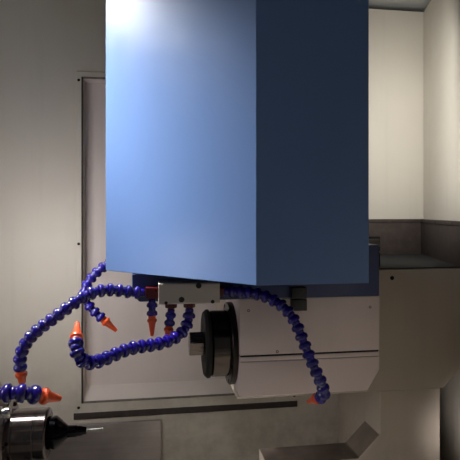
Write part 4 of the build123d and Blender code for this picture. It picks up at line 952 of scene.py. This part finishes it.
def cabinet():
    softened("cabinet_box", 0.9)
    softened("drive_units", 1.5)
    for side in ("left", "right"):
        door_node = side + "_cabinet_door"
        softened(door_node, 1.5)
        low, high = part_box(door_node)
        middle, bm = (low.x + high.x) / 2, bmesh.new()
        for z in (high.z - LOUVRE_DROP, low.z + LOUVRE_RISE):
            for i in range(LOUVRE_COUNT):
                slat = z + i * LOUVRE_PITCH
                rounded_box(
                    bm, (middle - LOUVRE_HALF_WIDTH, high.y - 1 * MM, slat),
                    (middle + LOUVRE_HALF_WIDTH, high.y + 3 * MM, slat + LOUVRE_HEIGHT), 2.0 * MM,
                )
        piece(side + "_cabinet_louvres", bm, body_of(door_node), "cabin_paint")


def operator_panel():
    softened("operator_panel", 1.2, 2)
    NODES["panel_screen"].data.materials.clear()
    NODES["panel_screen"].data.materials.append(MATERIALS["screen_black"])
    low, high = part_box("stop_button")
    x, z = (low.x + high.x) / 2, (low.z + high.z) / 2
    front = low.y
    bm = bmesh.new()
    turned(bm, (x, front, z), (0, 1, 0), scaled([
        (0, 0), (0.1, 8), (0.6, 13.5), (1.6, 16.4), (3.4, 17.8), (6.0, 18), (8.4, 17.2), (9.5, 15.4),
        (9.5, 7.2), (21.5, 7.2), (21.5, 0),
    ]), 48)
    piece("stop_button_moulded", bm, "stop", "button_red", replaces=["stop_button"])


def feet_and_lamp():
    softened("work_light", 2.5, 3)
    bm = bmesh.new()
    for points in islands("levelling_feet"):
        centre = points.mean(0)
        base = (centre[0], centre[1], 0.0)
        rise = points[:, 2].max() / MM
        turned(bm, base, (0, 0, 1), scaled([
            (0, 0), (0, 54), (1.5, 55), (9, 55), (12, 52), (18, 30), (22, 26), (22, 15.5), (rise, 15.5),
            (rise, 0),
        ]), 56)
        hexagon(bm, (base[0], base[1], 28 * MM), (0, 0, 1), 44 * MM, 15 * MM, 1.5 * MM)
        for i in range(6):
            turned(bm, (base[0], base[1], (46 + i * 6.5) * MM), (0, 0, 1), scaled([
                (0, 15.4), (1.6, 16.0), (3.2, 15.4),
            ]), 40)
    piece("levelling_feet_turned", bm, "machine", "foot_steel", replaces=["levelling_feet"])


# Stage, light and camera


def stage():
    bm = bmesh.new()
    bmesh.ops.create_grid(bm, x_segments=1, y_segments=1, size=9)
    mesh = bpy.data.meshes.new("floor")
    bm.to_mesh(mesh)
    bm.free()
    floor = bpy.data.objects.new("floor", mesh)
    bpy.context.scene.collection.objects.link(floor)
    s = Shader("floor_pale")
    tone = s.mix(s.spread(s.noise(1.5, 3), 0.3, 0.7), srgb(150, 150, 149), srgb(156, 156, 155))
    mesh.materials.append(s.done(tone, 0.6))
    glow = s.add("Emission")
    glow.inputs["Color"].default_value = srgb(214, 214, 214)
    path = s.add("LightPath")
    s.link(s.times(path.outputs["Is Camera Ray"], 0.72), glow.inputs["Strength"])
    both = s.add("AddShader")
    s.link(s.bsdf.outputs[0], both.inputs[0])
    s.link(glow.outputs[0], both.inputs[1])
    s.link(both.outputs[0], s.tree.nodes["Material Output"].inputs["Surface"])

    world = bpy.data.worlds.new("studio")
    world.use_nodes = True
    tree = world.node_tree
    light = tree.nodes["Background"]
    light.inputs["Color"].default_value = (0.92, 0.93, 0.95, 1)
    light.inputs["Strength"].default_value = 0.06
    seen = tree.nodes.new("ShaderNodeBackground")
    seen.inputs["Color"].default_value = (0.86, 0.87, 0.89, 1)
    seen.inputs["Strength"].default_value = 0.9
    path = tree.nodes.new("ShaderNodeLightPath")
    choice = tree.nodes.new("ShaderNodeMixShader")
    tree.links.new(path.outputs["Is Camera Ray"], choice.inputs[0])
    tree.links.new(light.outputs[0], choice.inputs[1])
    tree.links.new(seen.outputs[0], choice.inputs[2])
    tree.links.new(choice.outputs[0], tree.nodes["World Output"].inputs["Surface"])
    bpy.context.scene.world = world


def area_light(name, place, aim, size, watts, colour, spread):
    data = bpy.data.lights.new(name, "AREA")
    data.shape = "RECTANGLE"
    data.size, data.size_y = size
    data.energy = watts
    data.color = colour
    data.spread = math.radians(spread)
    obj = bpy.data.objects.new(name, data)
    obj.location = place
    obj.rotation_euler = (Vector(aim) - Vector(place)).to_track_quat("-Z", "Y").to_euler()
    obj.visible_camera = False
    bpy.context.scene.collection.objects.link(obj)


WARM, ROSY, PLAIN = (1.0, 0.985, 0.955), (1.0, 0.95, 0.94), (1, 1, 1)

# Name, place, aim, size, watts, colour and spread in degrees of each lamp: eight inside the chamber
# and three large ones outside. The camera sees none of them.
LAMPS = (
    ("lamp_light", (-0.42, 0.0, 1.93), (0.05, -0.12, 1.30), (0.08, 0.12), 2.45, WARM, 62),
    ("lamp_spot", (-0.20, 0.03, 1.93), (-0.05, -0.03, 1.86), (0.04, 0.04), 0.012, WARM, 60),
    ("wall_light", (-0.27, -0.01, 1.29), (-0.25, 0.42, 1.28), (0.20, 0.20), 0.85, ROSY, 150),
    ("sill_light", (-0.10, 0.12, 1.10), (-0.08, 0.47, 0.97), (0.20, 0.10), 0.010, ROSY, 120),
    ("head_light", (-0.62, -0.20, 1.27), (0.30, -0.08, 1.04), (0.10, 0.10), 0.078, ROSY, 56),
    ("right_light", (0.52, 0.08, 1.63), (0.71, 0.42, 1.56), (0.03, 0.44), 0.85, WARM, 130),
    ("low_light", (0.50, -0.10, 0.88), (0.70, 0.12, 0.96), (0.06, 0.06), 0.04, ROSY, 46),
    ("foot_light", (0.10, 0.00, 1.02), (0.34, 0.16, 0.88), (0.06, 0.06), 0.05, ROSY, 70),
    ("key", (-1.7, -1.5, 4.6), (0, 0, 0.9), (2.4, 2.4), 120, PLAIN, 180),
    ("fill", (2.6, -1.0, 4.0), (0, 0, 0.9), (2.6, 2.6), 70, PLAIN, 180),
    ("back", (0.6, 3.6, 3.2), (0, 0.3, 1.0), (2.6, 2.6), 120, PLAIN, 180),
)


def lights():
    for lamp in LAMPS:
        area_light(*lamp)


def camera():
    data = bpy.data.cameras.new("camera")
    data.sensor_width = SENSOR_WIDTH
    data.lens = SENSOR_WIDTH * FOCAL_PIXELS / IMAGE_SIZE
    data.shift_y = (HORIZON_ROW - IMAGE_SIZE / 2) / IMAGE_SIZE
    data.clip_start = 0.01
    obj = bpy.data.objects.new("camera", data)
    obj.location = CAMERA_PLACE
    obj.rotation_euler = (math.radians(90), 0, math.radians(-CAMERA_TURN))
    bpy.context.scene.collection.objects.link(obj)
    bpy.context.scene.camera = obj


def main():
    bpy.context.scene.view_settings.view_transform = "Standard"
    cabin()
    door("left")
    door("right")
    chamber()
    splash_apron()
    bridge_dressing()
    castings()
    wheel_head()
    spindle()
    coolant()
    work_head()
    cabinet()
    operator_panel()
    feet_and_lamp()
    stage()
    lights()
    camera()


main()
